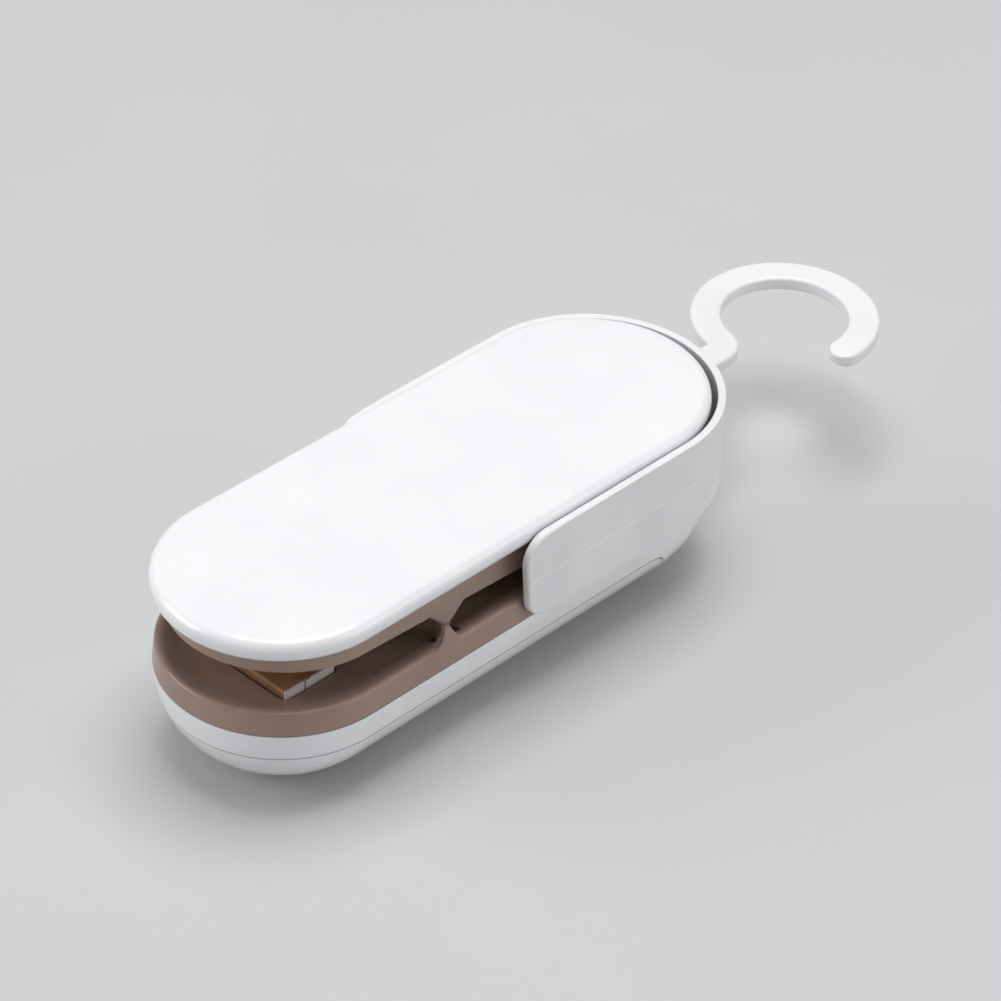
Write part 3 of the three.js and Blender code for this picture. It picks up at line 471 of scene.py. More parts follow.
@dataclass(frozen=True)
class PrintedSleeve(Look):
    """Shrunk sleeve of a plain cell: a dark film with a coloured end and small shrink wrinkles."""

    colour: Colour
    band: Colour
    band_from: float
    band_sign: int
    dark: Colour = (0.02, 0.02, 0.02)
    wear_size: float = 6 * MM
    wrinkle_size: float = 1.2 * MM
    wrinkle_depth: float = 0.02 * MM

    def paint(self, board: Board) -> None:
        """Set the sockets of the shader on a board."""
        x, _, _ = board.axes()
        end = ((x - self.band_from) * float(self.band_sign)).above(0.0)
        wrinkle = board.noise(self.wrinkle_size, 3.0, board.stretched((1.0, 0.3, 0.3)))
        tone = board.mix(end, self.colour, self.band)
        tone = board.mix(board.noise(self.wear_size).ramp(0.3, 0.7) * 0.12, tone, self.dark)
        board.surface(
            Base_Color=tone,
            Roughness=0.22 + 0.12 * wrinkle,
            Normal=board.bump(wrinkle, self.wrinkle_depth),
            Coat_Weight=0.3,
        )


@dataclass(frozen=True)
class Finish:
    """A built material and the slot of the record that it fills."""

    slot: Slot
    material: bpy.types.Material

    @classmethod
    def of(cls, slot: Slot, look: Look) -> "Finish":
        """Build a look for a slot."""
        return cls(slot, look.material())


class Palette:
    """All shared finishes, each material built once."""

    def __init__(self) -> None:
        """Build every material."""
        white = (0.84, 0.845, 0.855)
        self.cover = Finish.of(Slot.GLOSS_WHITE, Moulding(
            "gloss white cover", white, (0.80, 0.808, 0.82), 0.2, cloud=0.05, ripple_size=14 * MM,
            ripple_depth=0.012 * MM, coat=0.35, grain_depth=0.0012 * MM, subsurface=0.05,
        ))
        self.shell = Finish.of(Slot.GLOSS_WHITE, Moulding(
            "gloss white shell", white, (0.78, 0.785, 0.795), 0.22, cloud=0.07, ripple_size=7 * MM,
            ripple_depth=0.02 * MM, coat=0.3, grain_depth=0.0015 * MM, subsurface=0.05,
        ))
        self.strap = Finish.of(Slot.SATIN_WHITE, Moulding(
            "satin white strap", (0.82, 0.825, 0.832), (0.77, 0.776, 0.785), 0.34, ripple_size=5 * MM,
            ripple_depth=0.012 * MM, grain_depth=0.0025 * MM, subsurface=0.05, scratch_share=0.08,
        ))
        # The taupe's lighter pinkish-brown edge colour paints the highlight on the rim ridges, mixed with
        # rubbed wear.
        self.taupe = Finish.of(Slot.TAUPE, Moulding(
            "satin taupe", (0.335, 0.226, 0.178), (0.29, 0.194, 0.152), 0.3, cloud=0.08,
            grain_depth=0.005 * MM, ripple_size=6 * MM, ripple_depth=0.012 * MM,
            edge_wear_and_highlight_colour=(0.52, 0.40, 0.34), edge_wear_and_highlight_share=0.5, scratch_share=0.1,
        ))
        self.silicone = Finish.of(Slot.SILICONE, Moulding(
            "silicone rubber", (0.62, 0.13, 0.05), (0.5, 0.1, 0.04), 0.6, grain_depth=0.01 * MM,
            grain_size=0.2 * MM, edge_wear_and_highlight_colour=(0.75, 0.3, 0.18), edge_wear_and_highlight_share=0.3,
        ))
        self.tape = Finish.of(
            Slot.AMBER_TAPE, ReleaseTape("brown release tape", (0.36, 0.19, 0.085), (0.2, 0.095, 0.045))
        )
        self.ceramic = Finish.of(
            Slot.CERAMIC, FiredCeramic("pink white ceramic", (0.74, 0.64, 0.6), (0.42, 0.3, 0.24))
        )
        self.steel = Finish.of(
            Slot.STEEL, DrawnMetal("spring steel", (0.56, 0.56, 0.57), (0.36, 0.34, 0.32), 0.24)
        )
        self.nickel = Finish.of(Slot.NICKEL, DrawnMetal(
            "nickel plate", (0.63, 0.60, 0.54), (0.42, 0.38, 0.32), 0.26, lines=(1.0, 1.0, 0.05)
        ))
        self.ribbon = Finish.of(Slot.RIBBON, DrawnMetal(
            "heating strip", (0.34, 0.31, 0.29), (0.2, 0.15, 0.12), 0.38, lines=(1.0, 0.05, 1.0)
        ))


# Modelling


class Bench:
    """The operators that shape the pieces."""

    @staticmethod
    def rest() -> None:
        """Leave edit mode and deselect every object."""
        if bpy.context.mode != "OBJECT":
            bpy.ops.object.mode_set(mode="OBJECT")
        bpy.ops.object.select_all(action="DESELECT")

    @staticmethod
    def take(piece: bpy.types.Object) -> None:
        """Make a piece the only selected object and the active one."""
        Bench.rest()
        piece.select_set(True)
        bpy.context.view_layer.objects.active = piece

    @staticmethod
    def edit(piece: bpy.types.Object) -> None:
        """Open a piece in edit mode."""
        Bench.take(piece)
        bpy.ops.object.mode_set(mode="EDIT")

    @staticmethod
    def added(name: str) -> bpy.types.Object:
        """Name the primitive that was just added and put its place into its mesh.

        Args:
            name: name of the new piece.

        Returns:
            The new piece.
        """
        piece = bpy.context.active_object
        piece.name = name
        piece.data.name = name
        bpy.ops.object.transform_apply(location=True, rotation=True, scale=True)
        return piece

    @staticmethod
    def place(piece: bpy.types.Object, at: Place, turn: Place) -> None:
        """Turn and move a piece and put both into its mesh.

        Args:
            piece: the piece.
            at: where its origin goes.
            turn: Euler angles.
        """
        piece.rotation_euler = Euler(turn)
        piece.location = at
        Bench.take(piece)
        bpy.ops.object.transform_apply(location=True, rotation=True, scale=True)

    @staticmethod
    def pick(
        piece: bpy.types.Object,
        test: PlaceTest,
        kind: Pick = Pick.FACES,
        among: Sequence[int] | None = None,
    ) -> None:
        """Select the vertices, edges or faces whose place and normal pass a test.

        Args:
            piece: piece that is open in edit mode.
            test: takes the middle and the normal.
            kind: what is selected.
            among: indices of the only elements that may be selected, or none for all.
        """
        bpy.ops.mesh.select_mode(type=kind.value)
        bpy.ops.mesh.select_all(action="DESELECT")
        mesh = bmesh.from_edit_mesh(piece.data)
        if kind is Pick.FACES:
            rows = [(face, face.calc_center_median(), face.normal) for face in mesh.faces]
        elif kind is Pick.EDGES:
            ends = [(edge, *edge.verts) for edge in mesh.edges]
            rows = [(edge, (a.co + b.co) / 2, (a.normal + b.normal) / 2) for edge, a, b in ends]
        else:
            rows = [(vert, vert.co, vert.normal) for vert in mesh.verts]
        for element, middle, normal in rows if among is None else [rows[i] for i in among]:
            if test(middle, normal):
                element.select_set(True)
        mesh.select_flush(True)
        bmesh.update_edit_mesh(piece.data)

    @staticmethod
    def apply(piece: bpy.types.Object, kind: str, **settings: object) -> None:
        """Add a modifier and apply it.

        Args:
            piece: the piece that it changes.
            kind: type of the modifier.
            settings: its settings.
        """
        Bench.take(piece)
        modifier = piece.modifiers.new(kind.title(), kind)
        for key, value in settings.items():
            setattr(modifier, key, value)
        bpy.ops.object.modifier_apply(modifier=modifier.name)

    @staticmethod
    def combine(piece: bpy.types.Object, tool: bpy.types.Object, operation: str) -> None:
        """Unite, cut or intersect a piece with a tool, which is then removed."""
        Bench.apply(piece, "BOOLEAN", object=tool, operation=operation, solver="EXACT")
        bpy.data.objects.remove(tool)

    @staticmethod
    def block(name: str, low: Place, high: Place) -> bpy.types.Object:
        """Add a box between two corners.

        Args:
            name: name of the box.
            low: lowest corner.
            high: highest corner.

        Returns:
            The box.
        """
        Bench.rest()
        middle = [(a + b) / 2 for a, b in zip(low, high)]
        size = [b - a for a, b in zip(low, high)]
        bpy.ops.mesh.primitive_cube_add(size=1.0, location=middle, scale=size)
        return Bench.added(name)

    @staticmethod
    def side_block(name: str, side: Side, low: Place, high: Place) -> bpy.types.Object:
        """Add a box between two corners of the right side, or its mirror image on the left."""
        near, far = sorted((low[1] * side.value, high[1] * side.value))
        return Bench.block(name, (low[0], near, low[2]), (high[0], far, high[2]))

    @staticmethod
    def weld(piece: bpy.types.Object) -> None:
        """Merge doubles and turn all normals outwards, then leave edit mode.

        Args:
            piece: the piece.
        """
        Bench.edit(piece)
        bpy.ops.mesh.select_all(action="SELECT")
        bpy.ops.mesh.remove_doubles(threshold=WELD)
        bpy.ops.mesh.normals_make_consistent(inside=False)
        Bench.rest()

    @staticmethod
    def smooth(piece: bpy.types.Object, degrees: float = 32.0, weighted: bool = True) -> None:
        """Shade smooth below an angle, with flats ruling the normals.

        Args:
            piece: the piece to shade.
            degrees: edges over this angle stay sharp.
            weighted: whether large faces rule the normals.
        """
        Bench.take(piece)
        bpy.ops.object.shade_smooth_by_angle(angle=math.radians(degrees))
        if weighted:
            Bench.apply(piece, "WEIGHTED_NORMAL", mode="FACE_AREA", weight=50, keep_sharp=True)
        Bench.rest()

    @staticmethod
    def dress(piece: bpy.types.Object, finish: Finish, body: Body, *nodes: str) -> None:
        """Give a piece its finish, its body and the nodes that it stands for.

        Args:
            piece: the piece.
            finish: its material and slot.
            body: body that carries it.
            nodes: nodes that it replaces.
        """
        Bench.rest()
        piece.data.materials.clear()
        piece.data.materials.append(finish.material)
        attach(piece, body.value)
        if nodes:
            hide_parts(*nodes)
        LOG.info("%s rides on %s: %d faces", piece.name, body.value, len(piece.data.polygons))


@dataclass(frozen=True)
class Plan:
    """A half-round ended plan along X."""

    centre: float
    straight: float

    def ends(self) -> tuple[tuple[int, float], tuple[int, float]]:
        """Sign and X of the centre of each round end."""
        return (1, self.centre + self.straight), (-1, self.centre - self.straight)


class Loft:
    """A half-round ended solid that grows ring by ring; a straight of 0 turns a round one."""

    def __init__(self, name: str, plan: Plan, rings: Rings, sides: int = 128) -> None:
        """Add the first ring and grow the others from it.

        Args:
            name: name of the piece.
            plan: plan of all rings.
            rings: radius of the ends and height of each ring.
            sides: corners of the whole ring.
        """
        radius, height = rings[0]
        self.plan = plan
        self.radius = radius
        self.height = height
        half_step = math.pi / sides
        Bench.rest()
        bpy.ops.mesh.primitive_circle_add(
            vertices=sides,
            radius=radius / math.cos(half_step),
            location=(plan.centre, 0, height),
            rotation=(0, 0, half_step),
        )
        self.piece = Bench.added(name)
        Bench.edit(self.piece)
        if plan.straight:
            for sign, x in plan.ends():
                Bench.pick(self.piece, self._half(sign), Pick.VERTS)
                bpy.ops.transform.translate(value=(x - plan.centre, 0, 0))
        bpy.ops.mesh.select_all(action="SELECT")
        for ring in rings[1:]:
            self._grow(*ring)

    def _half(self, sign: int) -> PlaceTest:
        """Test for the half of the plan on one side of its centre."""
        return lambda co, _n: (co.x - self.plan.centre) * sign > 0

    def _grow(self, radius: float, height: float) -> None:
        """Extrude the last ring and resize each end about its own centre.

        Args:
            radius: radius of the new ring.
            height: height of the new ring.
        """
        move = {"value": (0, 0, height - self.height)}
        bpy.ops.mesh.extrude_region_move(TRANSFORM_OT_translate=move)
        share = radius / self.radius
        ring = [vert.index for vert in bmesh.from_edit_mesh(self.piece.data).verts if vert.select]
        if abs(radius - self.radius) > NEAR * MM:
            for sign, x in self.plan.ends():
                Bench.pick(self.piece, self._half(sign), Pick.VERTS, ring)
                bpy.ops.transform.resize(value=(share, share, 1), center_override=(x, 0, height))
            Bench.pick(self.piece, lambda _co, _n: True, Pick.VERTS, ring)
        self.radius = radius
        self.height = height

    @staticmethod
    def _open_edges() -> None:
        """Select the edges that have a face on one side only."""
        bpy.ops.mesh.select_all(action="DESELECT")
        bpy.ops.mesh.select_mode(type="EDGE")
        bpy.ops.mesh.select_non_manifold()

    def closed(self) -> bpy.types.Object:
        """Fill both ends.

        Returns:
            The finished solid.
        """
        bpy.ops.mesh.edge_face_add()
        self._open_edges()
        bpy.ops.mesh.edge_face_add()
        Bench.weld(self.piece)
        return self.piece

    def looped(self) -> bpy.types.Object:
        """Bridge the last ring to the first, for a hollow band.

        Returns:
            The finished band.
        """
        self._open_edges()
        bpy.ops.mesh.bridge_edge_loops()
        Bench.weld(self.piece)
        return self.piece


@dataclass(frozen=True)
class Refined:
    """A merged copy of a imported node, its round ends made smooth and its edges bevelled."""

    node: str
    plan: Plan | None = None
    bevel: float = 0.0
    degrees: float = 32.0
    facet: float = 9.0
    parts: int = 3
    flat_angle: float = 0.2
    bevel_angle: float = 35.0

    def build(self, name: str) -> bpy.types.Object:
        """Make the copy.

        Args:
            name: name of the new piece.

        Returns:
            The refined piece.
        """
        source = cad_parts[self.node]
        piece = bpy.data.objects.new(name, source.data.copy())
        piece.data.name = name
        bpy.context.scene.collection.objects.link(piece)
        Bench.edit(piece)
        bpy.ops.mesh.select_mode(type="FACE")
        bpy.ops.mesh.select_all(action="SELECT")
        bpy.ops.mesh.customdata_custom_splitnormals_clear()
        bpy.ops.mesh.remove_doubles(threshold=NEAR)
        bpy.ops.mesh.dissolve_limited(angle_limit=math.radians(self.flat_angle))
        if self.plan:
            self._round_ends(piece, self.plan)
        if self.bevel:
            Bench.apply(
                piece, "BEVEL", width=self.bevel, segments=2, limit_method="ANGLE",
                angle_limit=math.radians(self.bevel_angle), use_clamp_overlap=True,
            )
        Bench.smooth(piece, self.degrees)
        return piece

    def dressed(self, name: str, finish: Finish, body: Body) -> None:
        """Make the copy and dress it in its node's place."""
        Bench.dress(self.build(name), finish, body, self.node)

    def _round_ends(self, piece: bpy.types.Object, plan: Plan) -> None:
        """Cut the facets of both round ends and push the new corners out to the true arc.

        Args:
            piece: the copy, open in edit mode.
            plan: plan that its rings follow.
        """
        steps = round(180 / self.facet)
        for sign, x in plan.ends():
            for i in range(steps):
                for k in range(1, self.parts):
                    angle = math.radians(-90 + self.facet * (i + k / self.parts))
                    Bench.pick(piece, lambda co, _n, s=sign, e=x: (co.x - e) * s > -NEAR)
                    normal = (-math.sin(angle), math.cos(angle), 0)
                    bpy.ops.mesh.bisect(plane_co=(x, 0, 0), plane_no=normal, threshold=NEAR / 10)
        half = math.radians(self.facet / 2)
        mesh = bmesh.from_edit_mesh(piece.data)
        for vert in mesh.verts:
            for sign, x in plan.ends():
                if (vert.co.x - x) * sign > NEAR:
                    angle = math.atan2(vert.co.y, (vert.co.x - x) * sign)
                    offset = (angle + math.pi / 2) % (2 * half) - half
                    share = math.cos(offset) / math.cos(half)
                    vert.co.x = x + (vert.co.x - x) * share
                    vert.co.y *= share
        bmesh.update_edit_mesh(piece.data)


@dataclass(frozen=True)
class Coil:
    """A coil spring of round wire whose end turns lie closed for a number of turns, dead."""

    name: str
    foot: Place
    axis: Place
    length: float
    low_radius: float
    high_radius: float
    wire: float
    turns: float
    dead: float = 0.8
    closed_pitch_share: float = 1.05
    steps: int = 28

    def build(self) -> bpy.types.Object:
        """Sweep the wire and make it a mesh.

        Returns:
            The spring.
        """
        axis = Vector(self.axis).normalized()
        first = Vector((1, 0, 0)) if abs(axis.z) > 0.5 else Vector((0, 1, 0))
        second = axis.cross(first)
        total = round(self.turns * self.steps)
        rise = self.length - self.wire
        closed = self.wire * self.closed_pitch_share
        path = []
        for i in range(total + 1):
            turn = i / self.steps
            share = turn / self.turns
            if turn < self.dead:
                height = closed * turn
            elif turn > self.turns - self.dead:
                height = rise - closed * (self.turns - turn)
            else:
                low, high = closed * self.dead, rise - closed * self.dead
                height = low + (high - low) * (turn - self.dead) / (self.turns - 2 * self.dead)
            radius = self.low_radius + (self.high_radius - self.low_radius) * share - self.wire / 2
            angle = 2 * math.pi * turn
            out = first * math.cos(angle) + second * math.sin(angle)
            path.append(Vector(self.foot) + axis * (self.wire / 2 + height) + out * radius)
        curve = bpy.data.curves.new(self.name, "CURVE")
        curve.dimensions = "3D"
        curve.bevel_depth = self.wire / 2
        curve.bevel_resolution = 3
        curve.use_fill_caps = True
        spline = curve.splines.new("POLY")
        spline.points.add(len(path) - 1)
        for place, at in zip(spline.points, path):
            place.co = (*at, 1.0)
        piece = bpy.data.objects.new(self.name, curve)
        bpy.context.scene.collection.objects.link(piece)
        Bench.take(piece)
        bpy.ops.object.convert(target="MESH")
        piece = bpy.context.active_object
        Bench.weld(piece)
        Bench.smooth(piece, degrees=50.0, weighted=False)
        return piece


# Sub-assemblies


@dataclass
class BaseHousing:
    """The white boat-shaped shell, the battery cover under it and the deck on top."""

    palette: Palette
    plan: Plan = field(default_factory=lambda: Plan(0.0, 32.25 * MM))
    edge: float = 0.18 * MM

    def build(self) -> None:
        """Build and dress the three mouldings."""
        colours = self.palette
        for node, name, finish, body in (
            ("base_shell", "shell_moulding", colours.shell, Body.BASE),
            ("battery_cover", "battery_cover_moulding", colours.shell, Body.BATTERY_COVER),
            ("deck", "deck_moulding", colours.taupe, Body.BASE),
        ):
            Refined(node, self.plan, bevel=self.edge).dressed(name, finish, body)


@dataclass
class HeatingUnit:
    """The floating ceramic block with its strip, tape, rivet, springs and tray."""

    palette: Palette
    centre: float = -36.55 * MM
    spring_side: float = 6.6 * MM
    spring_foot: float = 9.9 * MM
    spring_length: float = 5.5 * MM
    spring_radius: float = 2.1 * MM
    spring_wire: float = 0.45 * MM
    spring_turns: float = 5.0
    spring_keep: float = 0.8
    front: float = -41.4 * MM
    rear: float = -31.7 * MM
    lip_inner: float = 9.98 * MM
    lip_outer: float = 10.52 * MM
    lip_foot: float = 16.6 * MM
    lip_top: float = 19.66 * MM
    lip_inset: float = 0.06 * MM
    lip_edge: float = 0.12 * MM
    slit_at: float = -37.55 * MM
    slit_width: float = 0.24 * MM
    slit_foot: float = 16.9 * MM
    channel_width: float = 0.6 * MM
    overrun: float = 1 * MM
    tape_foot: float = 17.0 * MM
    tape_top: float = 19.7 * MM
    tape_side: float = 9.92 * MM
    tape_bend: float = 0.55 * MM
    tape_thickness: float = 0.2 * MM
    tape_edge: float = 0.04 * MM

    def build(self) -> None:
        """Build and dress the heating unit."""
        colours = self.palette
        Bench.dress(self._block(), colours.ceramic, Body.HEATER, "heater_block")
        Bench.dress(self._tape(), colours.tape, Body.HEATER, "ptfe_tape")
        for node, name, bevel, finish, body in (
            ("heating_ribbon", "heating_strip", 0.03 * MM, colours.ribbon, Body.HEATER),
            ("contact_rivet", "rivet_under_block", 0.12 * MM, colours.nickel, Body.HEATER),
            ("heater_tray", "tray_moulding", 0.2 * MM, colours.taupe, Body.BASE),
            ("switch_leaf", "switch_spring_leaf", 0.08 * MM, colours.nickel, Body.BASE),
        ):
            Refined(node, bevel=bevel).dressed(name, finish, body)
        for side in Side:
            self._spring(side)

    def _block(self) -> bpy.types.Object:
        """Build the block with a raised lip at each end, a narrow slit in the lip and a channel behind it.

        Returns:
            The block.
        """
        block = Refined("heater_block", bevel=0.2 * MM).build("ceramic_block")
        middle = (self.front + self.rear) / 2
        half, gap = self.channel_width / 2, self.slit_width / 2
        under, over = self.lip_foot - self.overrun, self.lip_top + self.overrun
        inside, outside = self.lip_inner - self.overrun, self.lip_outer + self.overrun
        core = (self.lip_inner + self.lip_outer) / 2
        for side in Side:
            lip = Bench.side_block(
                "end_lip",
                side,
                (self.front + self.lip_inset, self.lip_inner, self.lip_foot),
                (self.rear - self.lip_inset, self.lip_outer, self.lip_top),
            )
            Bench.apply(lip, "BEVEL", width=self.lip_edge, segments=3)
            channel = Bench.side_block(
                "channel", side, (middle - half, inside, under), (middle + half, core, over)
            )
            Bench.combine(lip, channel, "DIFFERENCE")
            Bench.combine(block, lip, "UNION")
            slit = Bench.side_block(
                "slit",
                side,
                (self.slit_at - gap, self.lip_inner, self.slit_foot),
                (self.slit_at + gap, outside, over),
            )
            Bench.combine(block, slit, "DIFFERENCE")
        Bench.weld(block)
        Bench.smooth(block)
        return block

    def _tape(self) -> bpy.types.Object:
        """Fold the tape over the block, with tight bends at its front and rear.

        Returns:
            The tape.
        """
        tape = Bench.block(
            "release_tape",
            (self.front, -self.tape_side, self.tape_foot),
            (self.rear, self.tape_side, self.tape_top),
        )
        Bench.edit(tape)
        for end in (self.front, self.rear):
            Bench.pick(
                tape,
                lambda co, _n, e=end: abs(co.x - e) < NEAR and abs(co.z - self.tape_top) < NEAR,
                Pick.EDGES,
            )
            bpy.ops.mesh.bevel(offset=self.tape_bend, segments=8, affect="EDGES")
        for open_side in (Vector((0, 0, -1)), Vector((0, 1, 0)), Vector((0, -1, 0))):
            Bench.pick(tape, lambda _co, n, o=open_side: n.dot(o) > FACING)
            bpy.ops.mesh.delete(type="FACE")
        Bench.rest()
        Bench.apply(tape, "SOLIDIFY", thickness=self.tape_thickness, offset=-1.0)
        Bench.weld(tape)
        Bench.apply(tape, "BEVEL", width=self.tape_edge, segments=2)
        Bench.smooth(tape)
        return tape

    def _spring(self, side: Side) -> None:
        """Build one of the two springs under the block.

        Args:
            side: left or right.
        """
        label = side.name.lower()
        foot = (self.centre, side.value * self.spring_side, self.spring_foot)
        radius = self.spring_radius
        spring = Coil(
            f"block_spring_{label}", foot, (0, 0, 1), self.spring_length, radius, radius,
            self.spring_wire, self.spring_turns,
        ).build()
        Bench.dress(spring, self.palette.steel, Body.BASE, f"heater_spring_{label}")
        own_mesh(spring)


@dataclass
class PressLever:
    """The lever: brown frame, white cover, sealing pad, pin and return spring."""

    palette: Palette
    plan: Plan = field(default_factory=lambda: Plan(-0.32 * MM, 32.09 * MM))
    cover_bottom: float = 29.0 * MM
    frame_top: float = 29.3 * MM
    edge_radius: float = 1.5 * MM
    edge_rise: float = 1.83 * MM
    flat: float = 17.56 * MM
    recess: float = 16.0 * MM
    recess_depth: float = 1.6 * MM
    ceiling_radius: float = 12.0 * MM
    rebate: float = 17.1 * MM
    crown: float = 0.35 * MM
    last_crown_share: float = 0.05
    edge_steps: int = 16
    crown_steps: int = 10
    spring_foot: Place = (8 * MM, 0, 18.6 * MM)
    spring_length: float = 9.0 * MM
    spring_radius: float = 3.2 * MM
    spring_wire: float = 0.6 * MM
    spring_turns: float = 7.0
    spring_keep: float = 0.764

    def build(self) -> None:
        """Build and dress the lever."""
        colours = self.palette
        self._cover()
        for node, name, plan, bevel, finish, body in (
            ("lever_frame", "lever_frame_moulding", self.plan, 0.15 * MM, colours.taupe, Body.LEVER),
            ("seal_pad", "silicone_pad", None, 0.25 * MM, colours.silicone, Body.LEVER),
            ("hinge_pin", "steel_pin", None, 0.2 * MM, colours.steel, Body.BASE),
        ):
            Refined(node, plan, bevel=bevel).dressed(name, finish, body)
        radius = self.spring_radius
        spring = Coil(
            "lever_return_spring", self.spring_foot, (0, 0, 1), self.spring_length, radius, radius,
            self.spring_wire, self.spring_turns,
        ).build()
        Bench.dress(spring, colours.steel, Body.BASE, "return_spring")
        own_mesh(spring)

    def _cover(self) -> None:
        """Grow the white cover from its recess over the round edge to the crown."""
        middle = self.cover_bottom + self.edge_rise
        top = middle + self.edge_rise
        ceiling = self.frame_top + self.recess_depth
        last = self.last_crown_share
        angles = [math.pi * (i / self.edge_steps - 0.5) for i in range(self.edge_steps + 1)]
        shares = [1 - (1 - last) * i / self.crown_steps for i in range(1, self.crown_steps + 1)]
        rings = [
            (self.ceiling_radius, ceiling),
            (self.recess, ceiling),
            (self.recess, self.frame_top),
            (self.rebate, self.frame_top),
            (self.rebate, self.cover_bottom),
        ]
        for angle in angles:
            radius = self.flat + self.edge_radius * math.cos(angle)
            rings.append((radius, middle + self.edge_rise * math.sin(angle)))
        for share in shares:
            rings.append((self.flat * share, top + self.crown * (1 - share**2) / (1 - last**2)))
        cover = Loft("lever_cover_moulding", self.plan, rings).closed()
        Bench.smooth(cover, degrees=40.0, weighted=False)
        Bench.dress(cover, self.palette.cover, Body.LEVER, "lever_cover")


@dataclass
class LockStrap:
    """The sliding strap: a drafted band with a parting ledge, rails and the hanging hook."""

    palette: Palette
    plan: Plan = field(default_factory=lambda: Plan(0.195 * MM, 32.445 * MM))
    bottom: float = 16.13 * MM
    top: float = 31.27 * MM
    parting: float = 23.5 * MM
    bottom_radius: float = 20.45 * MM
    top_radius: float = 20.63 * MM
    waist_radius: float = 20.50 * MM
    ledge_radius: float = 20.58 * MM
    wall: float = 1.22 * MM
    ledge: float = 0.06 * MM
    front: float = -2.65 * MM
    front_lean: float = 1.4 * MM
    top_corner: float = 5 * MM
    bottom_corner: float = 3.6 * MM
    rim: float = 0.24 * MM
    rim_angle: float = 50.0
    front_edge: float = 0.56 * MM
    cut_clearance: float = 0.01 * MM
    cut_reach: float = 60 * MM
    rail_low: Place = (1 * MM, 18.21 * MM, 17.3 * MM)
    rail_high: Place = (30 * MM, 19.6 * MM, 18.3 * MM)
    hook_centre: Place = (78.82 * MM, 0.57 * MM, 22.05 * MM)
    hook_radius: float = 12.8 * MM
    hook_width: float = 4.97 * MM
    hook_thickness: float = 2.4 * MM
    hook_edge: float = 0.55 * MM
    hook_steps: int = 90
    tip_angle: float = -90.0
    tip_steps: int = 10
    tip_last_share: float = 0.985
    tip_taper_share: float = 0.012
    neck_angle: float = 167.0
    neck_radius: float = 2.85 * MM
    neck_steps: int = 26
    root: float = 52.6 * MM

    def build(self) -> None:
        """Build the band, its rails and the hook, and dress them as one moulding."""
        band = self._band()
        hook = self._hook()
        Bench.combine(band, hook, "UNION")
        for side in Side:
            rail = Bench.side_block(f"rail_{side.name.lower()}", side, self.rail_low, self.rail_high)
            Bench.combine(band, rail, "UNION")
        Bench.smooth(band)
        Bench.dress(band, self.palette.strap, Body.LOCK_STRAP, "lock_strap")

    def _band(self) -> bpy.types.Object:
        """Grow the band as a closed ring, cut its front to the side outline and round its edges.

        Returns:
            The band.
        """
        rings = (
            (self.bottom_radius, self.bottom),
            (self.ledge_radius, self.parting - self.ledge),
            (self.waist_radius, self.parting),
            (self.top_radius, self.top),
            (self.top_radius - self.wall, self.top),
            (self.bottom_radius - self.wall, self.bottom),
        )
        band = Loft("lock_strap_moulding", self.plan, rings).looped()
        low, high = self.bottom - self.cut_clearance, self.top + self.cut_clearance
        keep = Bench.block(
            "front_outline",
            (self.front, -self.cut_reach / 2, low),
            (self.cut_reach, self.cut_reach / 2, high),
        )
        Bench.edit(keep)
        Bench.pick(keep, lambda co, _n: co.x < 0 and co.z < self.parting, Pick.VERTS)
        bpy.ops.transform.translate(value=(self.front_lean, 0, 0))
        for place, radius in (
            (Vector((self.front, 0, high)), self.top_corner),
            (Vector((self.front + self.front_lean, 0, low)), self.bottom_corner),
        ):
            Bench.pick(keep, lambda co, _n, at=place: (co - at).length < NEAR, Pick.EDGES)
            bpy.ops.mesh.bevel(offset=radius, segments=14, affect="EDGES")
        Bench.rest()
        Bench.combine(band, keep, "INTERSECT")
        Bench.weld(band)
        Bench.edit(band)
        outside = self.bottom_radius - self.rim
        Bench.pick(band, lambda co, _n: co.x < self.top_corner and abs(co.y) > outside, Pick.EDGES)
        bpy.ops.mesh.bevel(offset=self.front_edge, segments=5, affect="EDGES")
        Bench.rest()
        Bench.apply(
            band, "BEVEL", width=self.rim, segments=4, limit_method="ANGLE",
            angle_limit=math.radians(self.rim_angle), use_clamp_overlap=True,
        )
        return band

    def _hook(self) -> bpy.types.Object:
        """Shape the tip, spin the bar round the eye and back into the neck, and run it to the band.

        Returns:
            The hook.
        """
        centre = Vector(self.hook_centre)
        tip, neck = math.radians(self.tip_angle), math.radians(self.neck_angle)
        Bench.rest()
        bpy.ops.mesh.primitive_plane_add(
            size=1.0, location=(self.hook_radius, 0, 0), rotation=(math.pi / 2, 0, 0)
        )
        bpy.context.active_object.scale = (self.hook_width, self.hook_thickness, 1)
        hook = Bench.added("hanging_hook")
        Bench.edit(hook)
        bpy.ops.mesh.select_all(action="SELECT")
        bpy.ops.mesh.bevel(offset=self.hook_edge, segments=4, affect="VERTICES")
        self._tip()
        Bench.rest()
        Bench.place(hook, self.hook_centre, (0, 0, tip))
        start = centre + self.hook_radius * Vector((math.cos(tip), math.sin(tip), 0))
        forward = Vector((-math.sin(tip), math.cos(tip), 0))
        Bench.edit(hook)
        Bench.pick(
            hook, lambda co, n: (co - start).length < self.hook_edge / 2 and abs(n.dot(forward)) > FACING
        )
        bpy.ops.mesh.spin(steps=self.hook_steps, angle=neck - tip, center=centre, axis=(0, 0, -1))
        reach = self.hook_radius + self.neck_radius
        pivot = centre + reach * Vector((math.cos(neck), math.sin(neck), 0))
        turn = neck - math.pi / 2
        bpy.ops.mesh.spin(steps=self.neck_steps, angle=turn, center=pivot, axis=(0, 0, 1))
        move = {"value": (self.root - pivot.x, 0, 0)}
        bpy.ops.mesh.extrude_region_move(TRANSFORM_OT_translate=move)
        Bench.weld(hook)
        return hook

